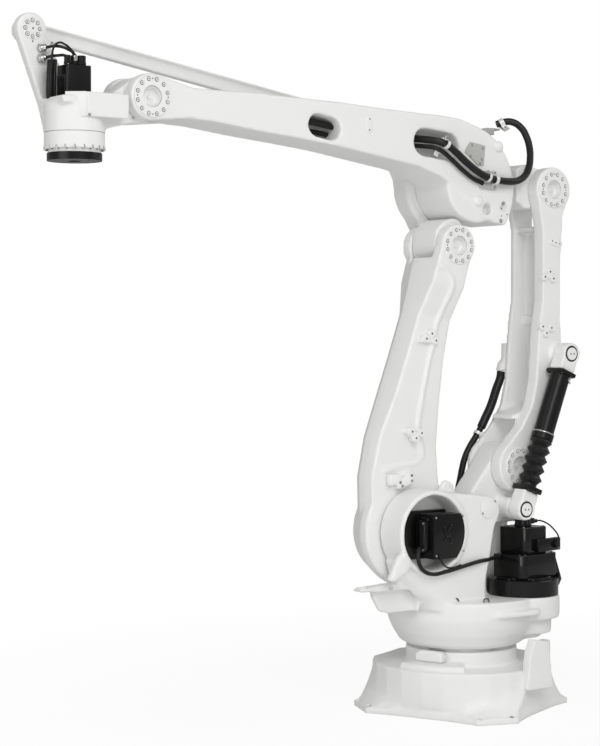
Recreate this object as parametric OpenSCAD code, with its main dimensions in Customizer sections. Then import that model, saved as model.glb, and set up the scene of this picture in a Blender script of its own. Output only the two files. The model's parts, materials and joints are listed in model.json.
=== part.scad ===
// Four-axis palletizing robot arm: a turned square base, a turret, a lower arm and a rear
// link that keep the elbow level, a long upper arm and a tie rod that keep the wrist level,
// and a gas spring that balances the lower arm. Millimetres, X forward, Y to the robot's
// left, Z up, origin on the turning axis at the floor.

/* [Joint layout] */
// Shoulder axis, forward of the turning axis
shoulder_x = 318; // [300:1:340]
// Shoulder axis, above the floor
shoulder_z = 770; // [755:1:800]
// Elbow pivot from the shoulder axis, forward
lower_arm_x = -190; // [-215:1:-165]
// Elbow pivot from the shoulder axis, upward
lower_arm_z = 1181; // [1140:1:1250]
// Rear link from the arm's pivots, forward
link_x = -510; // [-530:1:-495]
// Rear link from the arm's pivots, upward
link_z = 252; // [235:1:270]
// Upper arm pivot from the elbow pivot, forward
elbow_x = -120; // [-130:1:-110]
// Upper arm pivot from the elbow pivot, upward
elbow_z = 261; // [256:1:275]
// Wrist pivot from the upper arm pivot, forward
upper_arm_x = 1591; // [1500:1:1750]
// Wrist pivot from the upper arm pivot, upward
upper_arm_z = 254; // [230:1:280]
// Tie rod pin from the wrist pivot, forward
lever_x = 396; // [380:1:415]
// Tie rod pin from the wrist pivot, upward
lever_z = 240; // [225:1:255]
// Tool axis from the wrist pivot, forward
tool_x = 260; // [250:1:275]

/* [Base] */
// Width of the square foot across its flats
foot_w = 770; // [740:1:820]
// Cut across each corner of the foot, along the side
foot_cut = 132; // [110:1:150]
// Thickness of the foot at its corners
foot_t = 28; // [24:1:36]
// Turn of the square base against the arm
base_turn = 24.4; // [15:0.1:30]
// Height of the deck on the base
deck_z = 196; // [185:1:210]
// Radius of the body's rounded sides at the deck
deck_r = 379; // [370:1:384]
// Flat of the body's sides at the deck, from the turning axis
deck_half = 360; // [352:1:364]
// Radius of the round neck under the turret
neck_r = 236; // [225:1:242]
// Height of the neck's top
neck_top = 262; // [255:1:266]
// Floor bolt hole radius
foot_hole_r = 13; // [9:0.5:15]
// Radius of the first circle of floor bolts
foot_pcr = 432; // [425:1:436]
// Radius of the second circle of floor bolts
foot_pcr_b = 440; // [438:1:444]

/* [Turret] */
// Height of the turret's underside
turret_z = 274; // [272:1:278]
// Radius of the turret's underside
turret_r = 242; // [236:1:250]
// Radius of the turret's bowl at its rim
bowl_r = 320; // [308:1:326]
// Height of the bowl's rim
bowl_top = 476; // [470:1:477]
// Outer radius of the shoulder housing
housing_r = 176; // [170:1:186]
// Wall of the shoulder housing
housing_wall = 21; // [16:1:26]
// Nearest face of the shoulder housing
housing_y = 213; // [205:1:220]
// Gap plane between the shoulder housing and the lower arm
shoulder_gap_y = 64; // [60:1:70]
// Turning motor, forward of the turning axis
turn_motor_x = -209; // [-220:1:-200]
// Turning motor, to the left of the turning axis
turn_motor_y = 158; // [150:1:170]

/* [Arms] */
// Half width of the lower arm's fork
fork_half = 134; // [128:1:140]
// Half width of the gap in the lower arm's fork
fork_gap = 83; // [78:1:88]
// Radius of each ear round its pivot
ear_r = 88; // [82:1:96]
// Radius of the lower arm's shoulder disc
disc_r = 235; // [225:1:240]
// Half width of the lower arm's shank
shank_half = 88; // [80:1:94]
// Nearest face of the upper arm
upper_near = 122; // [116:1:128]
// Farthest face of the upper arm
upper_far = -112; // [-118:1:-106]
// Wall of the hollow upper arm
upper_wall = 16; // [12:1:20]
// Nearest face of the rear link
link_near = 157; // [150:1:160]
// Inner face of the rear link's near leg
link_near_in = 95; // [92:1:100]
// Farthest face of the rear link
link_far = -60; // [-66:1:-54]
// Inner face of the rear link's far leg
link_far_in = -36; // [-40:1:-35]
// Radius of the pivot shafts
shaft_r = 40; // [34:1:46]
// Running clearance of a shaft in its bore
run_clear = 0.05; // [0.02:0.01:0.09]
// Side clearance of a lug between two ears
side_clear = 2; // [1.5:0.1:3]
// Radius of a pivot cover
cover_r = 78; // [72:1:84]
// Thickness of a pivot cover
cover_t = 5; // [4:0.5:8]

/* [Wrist] */
// Radius of the wrist's lower housing
wrist_r = 112; // [106:1:118]
// Height of the wrist's underside, from the wrist pivot
wrist_drop = 204; // [196:1:212]
// Radius of the black tool flange
flange_r = 102; // [96:1:108]
// Thickness of the tool flange
flange_t = 28; // [22:1:34]
// Tool bolt circle radius
flange_pcr = 70; // [60:1:80]
// Tool bolt hole radius
flange_hole_r = 5; // [4:0.5:6]
// Radius of the tool flange's centre bore
flange_bore_r = 25; // [20:1:32]

/* [Gas spring] */
// Lower eye of the gas spring, forward of the shoulder axis
spring_low_x = -466; // [-475:1:-458]
// Lower eye of the gas spring, above the shoulder axis
spring_low_z = 75; // [66:1:82]
// Upper eye of the gas spring, forward of the rear link's lower pivot
spring_high_x = -212; // [-218:1:-204]
// Upper eye of the gas spring, above the rear link's lower pivot
spring_high_z = 476; // [464:1:488]
// Middle plane of the gas spring
spring_y = 216; // [214:1:222]
// Radius of the gas spring's pins
pin_r = 24; // [20:1:26]
// Radius of the heads of the gas spring's pins
pin_head_r = 32; // [30:1:34]
// Radius of the gas spring's cylinder
spring_r = 43; // [38:1:46]
// Radius of the gas spring's rod
spring_rod_r = 17; // [14:1:19]

/* [Hidden] */
$fn = 64;
CREAM = [0.93, 0.93, 0.91];
BLACK = [0.07, 0.07, 0.07];
STEEL = [0.62, 0.62, 0.62];
GREY = [0.72, 0.72, 0.7];

// Pivots in the arm's plane, as forward and upward
shoulder = [shoulder_x, shoulder_z];
elbow = shoulder + [lower_arm_x, lower_arm_z];
link_low = shoulder + [link_x, link_z];
link_high = elbow + [link_x, link_z];
arm_pivot = elbow + [elbow_x, elbow_z];
wrist = arm_pivot + [upper_arm_x, upper_arm_z];
lever_pin = wrist + [lever_x, lever_z];
rod_pin = arm_pivot + [lever_x, lever_z];
spring_low = shoulder + [spring_low_x, spring_low_z];
spring_high = link_low + [spring_high_x, spring_high_z];
tool = wrist + [tool_x, 0];

// Outlines are drawn for these lengths of the arms and follow when a length changes
lower_arm_drawn = [-190, 1181];
upper_arm_drawn = [1591, 254];
elbow_drawn = [128, 1951];
arm_pivot_drawn = [8, 2212];
function on_elbow(l) = [for (p = l) p + elbow - elbow_drawn];
function on_arm(p) = p + arm_pivot - arm_pivot_drawn
    + [upper_arm_x - upper_arm_drawn[0], upper_arm_z - upper_arm_drawn[1]] * max(0, p[0] - 200) / upper_arm_drawn[0];
function on_leg(p) = link_low + [p[0] + (lower_arm_x - lower_arm_drawn[0]) * p[1] / lower_arm_drawn[1],
    p[1] * lower_arm_z / lower_arm_drawn[1]];

function at(p, y) = [p[0], y, p[1]];
function unit(v) = v / norm(v);
// The direction square to v, a quarter turn towards the front
function front_of(v) = [v[1], -v[0]];
function mix(p, q, t) = p + (q - p) * t;

// A flat outline in the arm's plane, from y0 to y1
module along_y(y0, y1) {
    translate([0, y1, 0]) rotate([90, 0, 0]) linear_extrude(y1 - y0) children();
}

module rod_y(p, r, y0, y1) {
    translate([p[0], y1, p[1]]) rotate([90, 0, 0]) cylinder(r = r, h = y1 - y0);
}

module disc(p, r) {
    translate(p) circle(r = r);
}

// The straight-sided stretch between two discs, tangent to both
function belt(p, rp, q, rq) =
    let (u = unit(q - p), n = front_of(u), lean = asin((rp - rq) / norm(q - p)),
        a = n * cos(lean) + u * sin(lean), b = u * sin(lean) - n * cos(lean))
    [p + a * (rp - 0.02), q + a * (rq - 0.02), q + b * (rq - 0.02), p + b * (rp - 0.02)];

module bar(p, rp, q, rq) {
    disc(p, rp);
    disc(q, rq);
    polygon(belt(p, rp, q, rq));
}

// A point on a smooth curve through four route points, between the middle two
function curve(p, i, t) =
    let (m = len(p) - 1, a = p[max(i - 1, 0)], b = p[i], c = p[min(i + 1, m)], d = p[min(i + 2, m)])
    0.5 * (2 * b + (c - a) * t + (2 * a - 5 * b + 4 * c - d) * t * t + (3 * b - a - 3 * c + d) * t * t * t);

function smooth_route(p, steps) = concat(
    [for (i = [0 : len(p) - 2]) for (k = [0 : steps - 1]) curve(p, i, k / steps)], [p[len(p) - 1]]);

hose_sides = 8;

// A round hose along a route that lies nearly in one plane, square to side
module hose(route, r, side) {
    m = len(route) - 1;
    loft([for (i = [0 : m])
        let (way = unit(route[min(i + 1, m)] - route[max(i - 1, 0)]), u = unit(cross(way, side)), v = cross(way, u))
        [for (k = [0 : hose_sides - 1]) route[i] + r * (u * cos(k * 360 / hose_sides) + v * sin(k * 360 / hose_sides))]]);
}

// A closed solid through rings of equally many points, each turning left about the way along
module loft(rings) {
    n = len(rings[0]);
    m = len(rings);
    sides = [for (i = [0 : m - 2]) for (j = [0 : n - 1])
        let (a = i * n + j, b = i * n + (j + 1) % n)
        each [[a, b + n, b], [a, a + n, b + n]]];
    first = [for (j = [0 : n - 1]) j];
    last = [for (j = [n - 1 : -1 : 0]) (m - 1) * n + j];
    polyhedron([for (r = rings) each r], concat([first], sides, [last]));
}

// One ring across an arm: from the front point to the rear point, between two faces.
// The front corners are cut back by cut[0] on the far side and cut[1] on the near side.
function slice(front, rear, far, near, flat_far, flat_near, cut_far, cut_near, cut_rear) =
    let (u = unit(rear - front))
    [at(front, flat_far), at(front, flat_near), at(front + u * cut_near, near),
     at(rear - u * cut_rear, near), at(rear, near - cut_rear), at(rear, far + cut_rear),
     at(rear - u * cut_rear, far), at(front + u * cut_far, far)];

// Base

module turned() {
    rotate([0, 0, base_turn]) children();
}

function cut_square(half, cut) = [[half, half - cut], [half - cut, half], [cut - half, half],
    [-half, half - cut], [-half, cut - half], [cut - half, -half], [half - cut, -half],
    [half, cut - half]];

foot_half = foot_w / 2;
foot_dish = 24;
foot_hole_turn = 9;

module foot_holes(depth) {
    for (a = [45 : 90 : 315]) for (s = [0, 1])
        rotate([0, 0, a + (1 - 2 * s) * foot_hole_turn]) translate([s == 0 ? foot_pcr : foot_pcr_b, 0, -1])
            cylinder(r = foot_hole_r, h = depth + 2);
}

// A quarter of the body's outline at the foot and at the deck, from the front round to the side
BODY_FOOT = [[352, 0], [354, 90], [360, 180], [368, 244], [312, 308], [250, 366], [160, 360]];
function body_deck(k) = k < 6 ? deck_r * [cos(k * 14.6), sin(k * 14.6)] : [50, deck_half];
function quarter_turned(p, q) = q == 0 ? p : q == 1 ? [-p[1], p[0]] : q == 2 ? -p : [p[1], -p[0]];
function mirrored(l) = [for (i = [len(l) - 1 : -1 : 1]) [l[i][0], -l[i][1]]];
// The sides rise steeply at once, the edges between them lean all the way
function body_half(t) =
    let (q = [for (k = [0 : 6]) mix(BODY_FOOT[k], body_deck(k), 1 - pow(1 - t, k < 4 ? 5 : k == 4 ? 3 : 1.7))])
    concat(mirrored(q), q);
// All round, as the front half and the same turned by half a turn
function body_ring(t, z) = let (h = body_half(t))
    [for (p = concat(h, [for (p = h) -p])) [p[0], p[1], z]];

module base_casting() {
    color(CREAM) turned() difference() {
        union() {
            linear_extrude(foot_t) difference() {
                polygon(cut_square(foot_half, foot_cut));
                for (a = [0 : 90 : 270]) rotate(a) translate([foot_half, 0])
                    scale([foot_dish / (foot_half - foot_cut), 1]) circle(r = foot_half - foot_cut);
            }
            loft([for (s = [0 : 6]) let (t = s / 6)
                body_ring(t, mix(foot_t - 4, deck_z, t))]);
            cylinder(r = neck_r, h = neck_top);
            rotate([0, 0, -21]) rotate_extrude(angle = 49) translate([neck_r - 10, deck_z - 10])
                square([deck_r - neck_r - 18, 34]);
        }
        foot_holes(foot_t);
    }
}

module base_bearing_ring() {
    color(STEEL) translate([0, 0, neck_top]) difference() {
        cylinder(r = turret_r - 14, h = turret_z - neck_top - 0.3);
        translate([0, 0, -1]) cylinder(r = 110, h = 20);
    }
}

stop_w = 128;
stop_d = 40;

module rotation_stop() {
    color(CREAM) rotate([0, 0, 21]) translate([neck_r + 3, 0, deck_z + 24.2])
        rotate([0, 0, 90]) translate([0, -stop_d / 2, 0]) rotate([90, 0, 0]) translate([0, 0, -stop_d / 2])
            linear_extrude(stop_d) polygon([[-stop_w / 2, 0], [stop_w / 2, 0],
                [stop_w / 2, 30], [stop_w / 2 - 16, 46], [16 - stop_w / 2, 46], [-stop_w / 2, 30]]);
}

tower_w = 50;
tower_d = 45;
tower_top = 280;

module connector_tower() {
    color(CREAM) turned() translate([-186, deck_half - 26 - tower_d, deck_z + 0.2])
        cube([tower_w, tower_d, tower_top - deck_z]);
}

// Turret

rim_t = 26;
near_wall = 200;
lug_far = link_far_in + 3;
lug_near = link_near_in - side_clear;
column_far = -93;
head = [20, 842];
head_r = 64;
motor_seat_z = 478;
motor_seat_r = 156;
arm_sweep = disc_r + 8;

// Where the lower arm and the turning motor need the casting's room
module turret_room() {
    along_y(column_far - 1, shoulder_gap_y + 3) disc(shoulder, arm_sweep);
    translate([turn_motor_x, turn_motor_y, motor_seat_z]) cylinder(r = motor_seat_r + 3, h = 300);
}

// The front wall, which rises from the bowl's rim and flares to the housing: for each height
// how far it reaches along the lower arm, and where its rounding ends and starts
FRONT_WALL = [[-34, bowl_r - 10, bowl_r - 80, 80], [0, bowl_r + 16, bowl_r - 76, 84],
    [40, bowl_r + 76, bowl_r - 58, 96], [100, bowl_r + 122, bowl_r - 14, 118],
    [180, bowl_r + 148, bowl_r + 60, 140]];

module front_wall() {
    y0 = shoulder_gap_y + 4;
    loft([for (w = FRONT_WALL) let (z = bowl_top + w[0])
        concat([[150, y0, z], [w[1], y0, z]],
            [for (a = [0 : 15 : 90]) [w[2] + (w[1] - w[2]) * cos(a), w[3] + (near_wall - w[3]) * sin(a), z]],
            [[150, near_wall, z]])]);
}

module turret_casting() {
    color(CREAM) difference() {
        union() {
            translate([0, 0, turret_z]) rotate_extrude() polygon([[0, 0], [turret_r, 0],
                [turret_r + 24, 14], [bowl_r - 43, 35], [bowl_r - 28, 56], [bowl_r - 12, 92], [bowl_r - 2, 125],
                [bowl_r, bowl_top - turret_z - rim_t], [bowl_r, bowl_top - turret_z], [0, bowl_top - turret_z]]);
            translate([turn_motor_x, turn_motor_y, 0]) {
                translate([0, 0, 380]) cylinder(r = motor_seat_r, h = motor_seat_z - 380);
                translate([0, 0, 316]) cylinder(r = 121, h = 66);
                translate([0, 0, 294]) cylinder(r = 76, h = 24);
            }
            difference() {
                union() {
                    along_y(shoulder_gap_y + 4, near_wall) {
                        bar(shoulder, housing_r - 4, head, head_r);
                        polygon([[36, bowl_top - 20], [240, bowl_top - 20], [255, 520], [300, 580], [376, 652], shoulder + [154, -70],
                            head + [0, 0], head + [-head_r, 0], [-14, 765], [8, 655], [30, 560]]);
                    }
                    along_y(lug_far, lug_near) {
                        bar(link_low, 96, head + [-20, -10], 70);
                        polygon([[-235, bowl_top - 20], [120, bowl_top - 20], [95, 700], [60, 880],
                            link_low + [90, -20], link_low + [-94, -10]]);
                    }
                    along_y(column_far, lug_near) polygon([[-235, bowl_top - 20], [120, bowl_top - 20],
                        [95, 700], [60, 850], [-40, 895], [-225, 895], [-240, 700]]);
                }
                turret_room();
            }
            front_wall();
            rod_y(spring_low, 46, lug_near - 20, spring_y - 38);
            rod_y(shoulder, housing_r, shoulder_gap_y + 3, housing_y);
            // Fork truck lugs in front and at the side, and the fin that the arm's stop meets
            along_y(shoulder_gap_y + 8, 132) {
                polygon([[360, 540], [626, 540], [640, 548], [626, 558], [360, 572]]);
                polygon([[330, 441], [466, 441], [510, 452], [549, 514], [552, 545], [330, 560]]);
            }
            translate([0, 0, 410]) linear_extrude(26) polygon([[-168, 200], [172, 200], [150, 268], [60, 330],
                [-20, 346], [-130, 346], [-160, 330]]);
            along_y(180, housing_y) polygon([[450, 626], [470, 612], [522, 584], [552, 592], [527, 640],
                [500, 690], [440, 690]]);
        }
        rod_y(shoulder, housing_r - housing_wall, shoulder_gap_y + 26, housing_y + 1);
        rod_y(link_low, shaft_r + run_clear, lug_far - 1, lug_near + 1);
    }
}

module access_cover() {
    color(CREAM) rod_y(head + [2, 14], 43, near_wall + 0.2, near_wall + 5);
}

module turn_motor_flange() {
    color(BLACK) translate([turn_motor_x, turn_motor_y, motor_seat_z + 0.2])
        cylinder(r = motor_seat_r - 5, h = gear_case_from - 0.4);
}

// Heights on the turning motor's seat
gear_case_from = 78.4;
turn_motor_from = 174;
turn_motor_to = 286.6;

// The turning motor's stack is turned a little against the turret
module on_motor_seat(h) {
    translate([turn_motor_x, turn_motor_y, motor_seat_z + h]) rotate([0, 0, 10]) children();
}

module turn_motor_gear_case() {
    color(BLACK) on_motor_seat(gear_case_from) {
        linear_extrude(turn_motor_from - 0.2 - gear_case_from) polygon([[-118, -62], [120, -62], [120, 78],
            [98, 100], [-98, 100], [-118, 82]]);
        along_y(-30, 74) polygon([[-176, -26], [-158, -52], [-154, -52], [-154, 0.4], [-117, 0.4],
            [-117, turn_motor_from - 0.2 - gear_case_from], [-122, turn_motor_from - 0.2 - gear_case_from]]);
    }
}

module turn_motor() {
    color(BLACK) on_motor_seat(turn_motor_from) {
        translate([-76, -76, 0]) cube([152, 152, turn_motor_to - turn_motor_from]);
        translate([-112, -44, 14]) cube([37, 74, 40]);
    }
}

module turn_motor_encoder() {
    color(BLACK) translate([turn_motor_x, turn_motor_y, motor_seat_z + turn_motor_to + 0.2]) cylinder(r = 37, h = 40);
}

module shoulder_motor() {
    color(BLACK) {
        for (b = [[[-140, -112], [232, 198], 26.2, 60], [[-156, -106], [168, 182], 59.9, housing_y + 8 - shoulder_gap_y]])
            along_y(shoulder_gap_y + b[2], shoulder_gap_y + b[3]) intersection() {
                translate(shoulder + b[0]) square(b[1]);
                disc(shoulder, housing_r - housing_wall - 4);
            }
    }
}

// The spring's pins end in a wide head that sits in the eye's recess
module spring_pin(p) {
    rod_y(p, pin_r, spring_y - 37.8, spring_y + 30);
    rod_y(p, pin_head_r, spring_y + 28.3, spring_y + 37);
}

module spring_lower_pin() {
    color(CREAM) spring_pin(spring_low);
}

// Lower arm

arm_dir = unit(elbow - shoulder);
arm_front = front_of(arm_dir);
// Distance along the arm, front and rear of the centre line
SHANK = [[0.02, 215, -190], [0.16, 246, -120], [0.30, 238, -72], [0.45, 202, -42],
    [0.60, 165, -36], [0.74, 134, -44], [0.86, 116, -60], [0.93, 106, -70], [0.99, 89, -84]];
arm_far = -95;
bevel = 45;
flat_to = 15;

// How far the arm has spread to the fork, by distance along it
function spread(s) = min(1, max(0, (s - 0.74) / 0.12));

module lower_arm_casting() {
    color(CREAM) difference() {
        union() {
            loft([for (s = SHANK) let (p = mix(shoulder, elbow, s[0]))
                slice(p + arm_front * s[1], p + arm_front * s[2], mix(arm_far, -fork_half, spread(s[0])),
                    mix(mix(shoulder_gap_y - 4, shank_half, min(1, max(0, (s[0] - 0.25) * 5))), fork_half, spread(s[0])),
                    flat_to - 40, flat_to, bevel, 6, 6)]);
            translate(at(shoulder, 0)) rotate([90, 0, 0]) rotate_extrude()
                polygon([[0, 4 - shoulder_gap_y], [disc_r - 6, 4 - shoulder_gap_y], [disc_r, 10 - shoulder_gap_y],
                    [disc_r, -flat_to], [disc_r - bevel, -arm_far], [0, -arm_far]]);
            for (side = [-1, 1]) rod_y(elbow, ear_r, min(side * fork_gap, side * fork_half),
                max(side * fork_gap, side * fork_half));
        }
        for (side = [-1, 1]) rod_y(elbow, shaft_r, side * fork_half - 60, side * fork_half + 60);
        along_y(-fork_gap, fork_gap) disc(elbow, ear_r + 28);
    }
}

module shoulder_reducer() {
    color(STEEL) rod_y(shoulder, 130, shoulder_gap_y - 3.8, shoulder_gap_y + 2.7);
}

module pivot_cover(p, face) {
    rod_y(p, cover_r, min(face, face + sign(face) * cover_t), max(face, face + sign(face) * cover_t));
}

module elbow_covers() {
    color(CREAM) for (side = [-1, 1]) pivot_cover(elbow, side * (fork_half + 0.2));
}

module elbow_shaft() {
    color(STEEL) rod_y(elbow, shaft_r - run_clear, -fork_half, fork_half);
}

module stopper_block() {
    color(CREAM) along_y(shoulder_gap_y - 2.3, shank_half + 6) translate([395, 962]) square([62, 46]);
}

// Rear link

link_dir = unit(link_high - link_low);
link_front = front_of(link_dir);
// The near leg's outline against the lower pivot, up its front and down its rear
LEG_FRONT = [[48, 107], [-12, 164], [-69, 254], [-95, 358], [-108, 538], [-116, 620], [-131, 707],
    [-131, 1004], [-110, 1110], [-94, 1181]];
LEG_REAR = [[-286, 1181], [-245, 1074], [-229, 836], [-232, 618], [-240, 512], [-228, 398], [-193, 278],
    [-148, 178], [-112, 8]];
far_set_back = 4;

module leg_outline(set_back) {
    polygon([for (p = concat([[0, 0]], [for (p = LEG_FRONT) p - [p[1] > 200 && p[1] < 1150 ? set_back : 0, 0]],
        LEG_REAR)) on_leg(p)]);
    disc(link_low, 112);
    disc(link_high, 96);
}

WEBS = [[[-8, 192], [-16, 214], [-180, 262], [-182, 240]],
    [[-150, 1004], [-150, 1026], [-236, 1030], [-234, 1004]],
    [[-190, 600], [-190, 640], [-230, 640], [-230, 600]]];

module rear_link_casting() {
    color(CREAM) difference() {
        union() {
            along_y(link_near_in, link_near) leg_outline(0);
            along_y(link_far, link_far_in) leg_outline(far_set_back);
            for (w = WEBS) along_y(link_far_in - 1, link_near_in + 1) polygon([for (p = w) on_leg(p)]);
            rod_y(spring_high, 44, link_near - 1, spring_y - 38);
        }
        for (p = [link_low, link_high]) rod_y(p, shaft_r, link_far - 1, link_near + 1);
    }
}

module link_covers() {
    color(CREAM) for (p = [link_low, link_high]) for (face = [link_near + 0.2, link_far - 0.2])
        pivot_cover(p, face);
}

module link_shafts() {
    color(STEEL) for (p = [link_low, link_high]) rod_y(p, shaft_r - run_clear, link_far, link_near);
}

module spring_upper_pin() {
    color(CREAM) spring_pin(spring_high);
}

module hose_bracket() {
    color(CREAM) along_y(link_far - 36, link_far - 0.2) polygon([for (p = [[-148, 399], [-82, 399], [-86, 430],
        [-110, 452], [-114, 520], [-148, 520]]) on_leg(p)]);
}

REAR_HOSE = [[-295, -82, 1418.4], [-291, -82, 1394], [-267, -82, 1342], [-236, -82, 1270], [-205, -82, 1218],
    [-180, -82, 1177], [-146, -82, 1132], [-114, -82, 1092], [-88, -82, 1047], [-71, -82, 995],
    [-60, -82, 950], [-52, -82, 920], [-51, -82, 895.5]];
rear_hose_r = 14;

module rear_hose() {
    color(BLACK) hose(smooth_route(REAR_HOSE, 2), rear_hose_r, [0, 1, 0]);
}

// Elbow

rod_near = -118;
rod_far = -160;
elbow_far = -232;
plate_near = -fork_half - 8;
elbow_near = upper_far - side_clear;
hub_r = 163;
SADDLE = [[60, 1985], [62, 2040], [78, 2062], [110, 2068], [165, 2052], [203, 2018], [209, 1960]];
SADDLE_FAR = [[60, 1985], [62, 2044], [78, 2062], [110, 2066], [150, 2048], [178, 2016], [176, 1967], [150, 1935]];

module elbow_casting() {
    color(CREAM) difference() {
        union() {
            along_y(elbow_far, plate_near) {
                disc(arm_pivot, 184);
                polygon(on_elbow([[174, 2140], [142, 2092], [100, 2022], [62, 1990], [-60, 2060], [8, 2212]]));
                bar(arm_pivot, 150, link_high, 84);
            }
            // The arm of the plate that carries the tie rod's rear pin
            along_y(elbow_far, rod_far - side_clear) {
                disc(rod_pin, 46);
                polygon(concat(on_elbow([[60, 2340]]), [rod_pin + [-22, 40], rod_pin + [36, -28]],
                    on_elbow([[226, 2292], [198, 2245], [186, 2180], [8, 2212]])));
            }
            along_y(plate_near - 1, elbow_near) disc(arm_pivot, hub_r);
            difference() {
                union() {
                    along_y(-fork_gap + side_clear, fork_gap - side_clear) {
                        disc(elbow, ear_r - 6);
                        polygon(on_elbow(SADDLE));
                    }
                    along_y(plate_near - 1, -fork_gap + side_clear + 1) polygon(on_elbow(SADDLE_FAR));
                }
                along_y(elbow_near, fork_gap) disc(arm_pivot, hub_r + 6);
                along_y(plate_near - 2, -fork_gap + side_clear) disc(elbow, ear_r + 6);
            }
            along_y(plate_near - 1, lug_near) polygon(on_elbow([[-280, 2120], [-228, 2150], [-228, 2290],
                [-280, 2312]]));
            along_y(lug_far, lug_near) {
                disc(link_high, 86);
                polygon(concat(on_elbow([[-279, 2122], [-279, 2311]]), [link_high + [0, 86], link_high + [0, -86]]));
            }
            along_y(-200, plate_near) polygon(on_elbow([[-90, 2300], [-60, 2380], [-100, 2440], [-186, 2440],
                [-180, 2300]]));
        }
        rod_y(elbow, shaft_r + run_clear, elbow_far + 40, fork_gap + 1);
        rod_y(link_high, shaft_r + run_clear, lug_far - 1, lug_near + 1);
        rod_y(rod_pin, 20 + run_clear, elbow_far - 1, rod_far);
        along_y(rod_far - side_clear, plate_near + 1) disc(rod_pin, 60);
    }
}

module upper_arm_motor() {
    color(BLACK) along_y(elbow_far - 110, elbow_far - 0.2) translate(arm_pivot - [70, 70]) square(140);
}

module top_hose_bracket() {
    color(GREY) along_y(-200, -6) polygon(on_elbow([[-186, 2440.2], [-104, 2440.2], [-112, 2450],
        [-150, 2469], [-218, 2469], [-218, 2461], [-186, 2461]]));
}

// Upper arm

// Forward of the pivot, top and bottom against the pivot's height
BEAM = [[1480, 300, 186], [1310, 301, 177], [1100, 303, 153], [920, 297, 137], [726, 295, 117],
    [526, 285, 88], [320, 278, 58], [200, 276, 20], [100, 268, -30]];

function beam_outline() = concat(
    [for (s = BEAM) on_arm(arm_pivot_drawn + [s[0], s[1]])],
    [for (a = [105 : 11 : 215]) arm_pivot + [69, -17] + 266 * [cos(a), sin(a)]],
    [arm_pivot + [-80, -160], arm_pivot + [0, -116]],
    [for (i = [len(BEAM) - 1 : -1 : 0]) on_arm(arm_pivot_drawn + [BEAM[i][0], BEAM[i][2]])]);

// The slots, as the middles and the radius of their ends
SLOTS = [[[298, 2372], [174, 2360], 56], [[838, 2408], [772, 2397], 45]];
slot_floor = -58;

module slot_cut(s) {
    p = on_arm(s[0]);
    q = on_arm(s[1]);
    rod_y(p, s[2], slot_floor, upper_near + 1);
    rod_y(q, s[2], slot_floor, upper_near + 1);
    along_y(slot_floor, upper_near + 1) polygon(belt(p, s[2], q, s[2]));
}

module upper_arm_casting() {
    color(CREAM) difference() {
        union() {
            along_y(upper_far, upper_near) polygon(beam_outline());
            along_y(upper_far, upper_near) hull() {
                disc(wrist, ear_r);
                translate(wrist + [-191, -68]) square([10, 114]);
            }
            rod_y(arm_pivot, hub_r, upper_far - side_clear + 0.5, upper_near - 10);
        }
        along_y(-fork_gap + 20, fork_gap - 20) disc(wrist, ear_r + 26);
        for (s = SLOTS) slot_cut(s);
        rod_y(wrist, shaft_r, upper_far - 1, upper_near + 1);
    }
}

module wrist_covers() {
    color(CREAM) {
        pivot_cover(wrist, upper_near + 0.2);
        pivot_cover(wrist, upper_far - 0.2);
    }
}

module wrist_shaft() {
    color(STEEL) rod_y(wrist, shaft_r - run_clear, upper_far, upper_near);
}

arm_hose_r = 15;
ARM_HOSE = [[328, 24, 2392], [300, 60, 2390], [266, 104, 2384], [234, 134, 2376], [206, 147, 2364],
    [162, 150, 2338], [102, 150, 2297], [37, 150, 2260], [-28, 150, 2237], [-60, 150, 2231]];
HOSE_LOOP = [[-60.8, 150, 2231], [-100, 149, 2228], [-145, 147, 2228], [-196, 140, 2236], [-241, 132, 2261],
    [-269, 124, 2298], [-285, 113, 2338], [-296, 98, 2378], [-298, 76, 2430], [-287, 52, 2472],
    [-258, 27, 2497], [-222, 5, 2495], [-200, -8, 2486.5]];

module hose_plate() {
    color(GREY) along_y(upper_near + 0.2, upper_near + 4) polygon([for (p = [[61, 2386], [-23, 2374], [-14, 2290],
        [15, 2288], [88, 2341], [80, 2361]]) on_arm(p)]);
}

// A strip that bridges the slot under the hose, and a block under the hose by the arm's end
module hose_clamps() {
    color(STEEL) {
        along_y(upper_near + 0.2, upper_near + 4.2) translate([182, 2286]) square([24, 160]);
        along_y(upper_near + 0.2, 150 - arm_hose_r - 0.6) translate([-48, 2203]) square([40, 68]);
    }
}

module arm_hose() {
    color(BLACK) hose(smooth_route(ARM_HOSE, 2), arm_hose_r, [0, 1, 0]);
}

module hose_loop() {
    color(BLACK) hose(smooth_route(HOSE_LOOP, 2), arm_hose_r, [0, 1, 0]);
}

// Tie rod

// The rod's beam lies a little above the line between its pins
rod_rise = [0, 8];

module tie_rod() {
    color(CREAM) difference() {
        union() {
            along_y(rod_far, rod_near) bar(lever_pin + rod_rise, 29, rod_pin + rod_rise, 31);
            for (p = [lever_pin, rod_pin]) rod_y(p, 44, rod_far, rod_near);
        }
        along_y(rod_near - 14, rod_near + 1) polygon(belt(mix(lever_pin, rod_pin, 0.05) + rod_rise, 20,
            mix(lever_pin, rod_pin, 0.94) + rod_rise, 22));
        for (p = [lever_pin, rod_pin]) rod_y(p, 20 + run_clear, rod_far - 1, rod_near + 1);
    }
}

module tie_rod_pins() {
    color(STEEL) {
        rod_y(lever_pin, 20, rod_far, lever_near);
        rod_y(rod_pin, 20, elbow_far, rod_near);
    }
}

// Wrist

wrist_bottom = wrist[1] - wrist_drop;
lug_half = fork_gap - 20 - side_clear;
lever_near = -70;
lever_far = -112;

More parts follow.
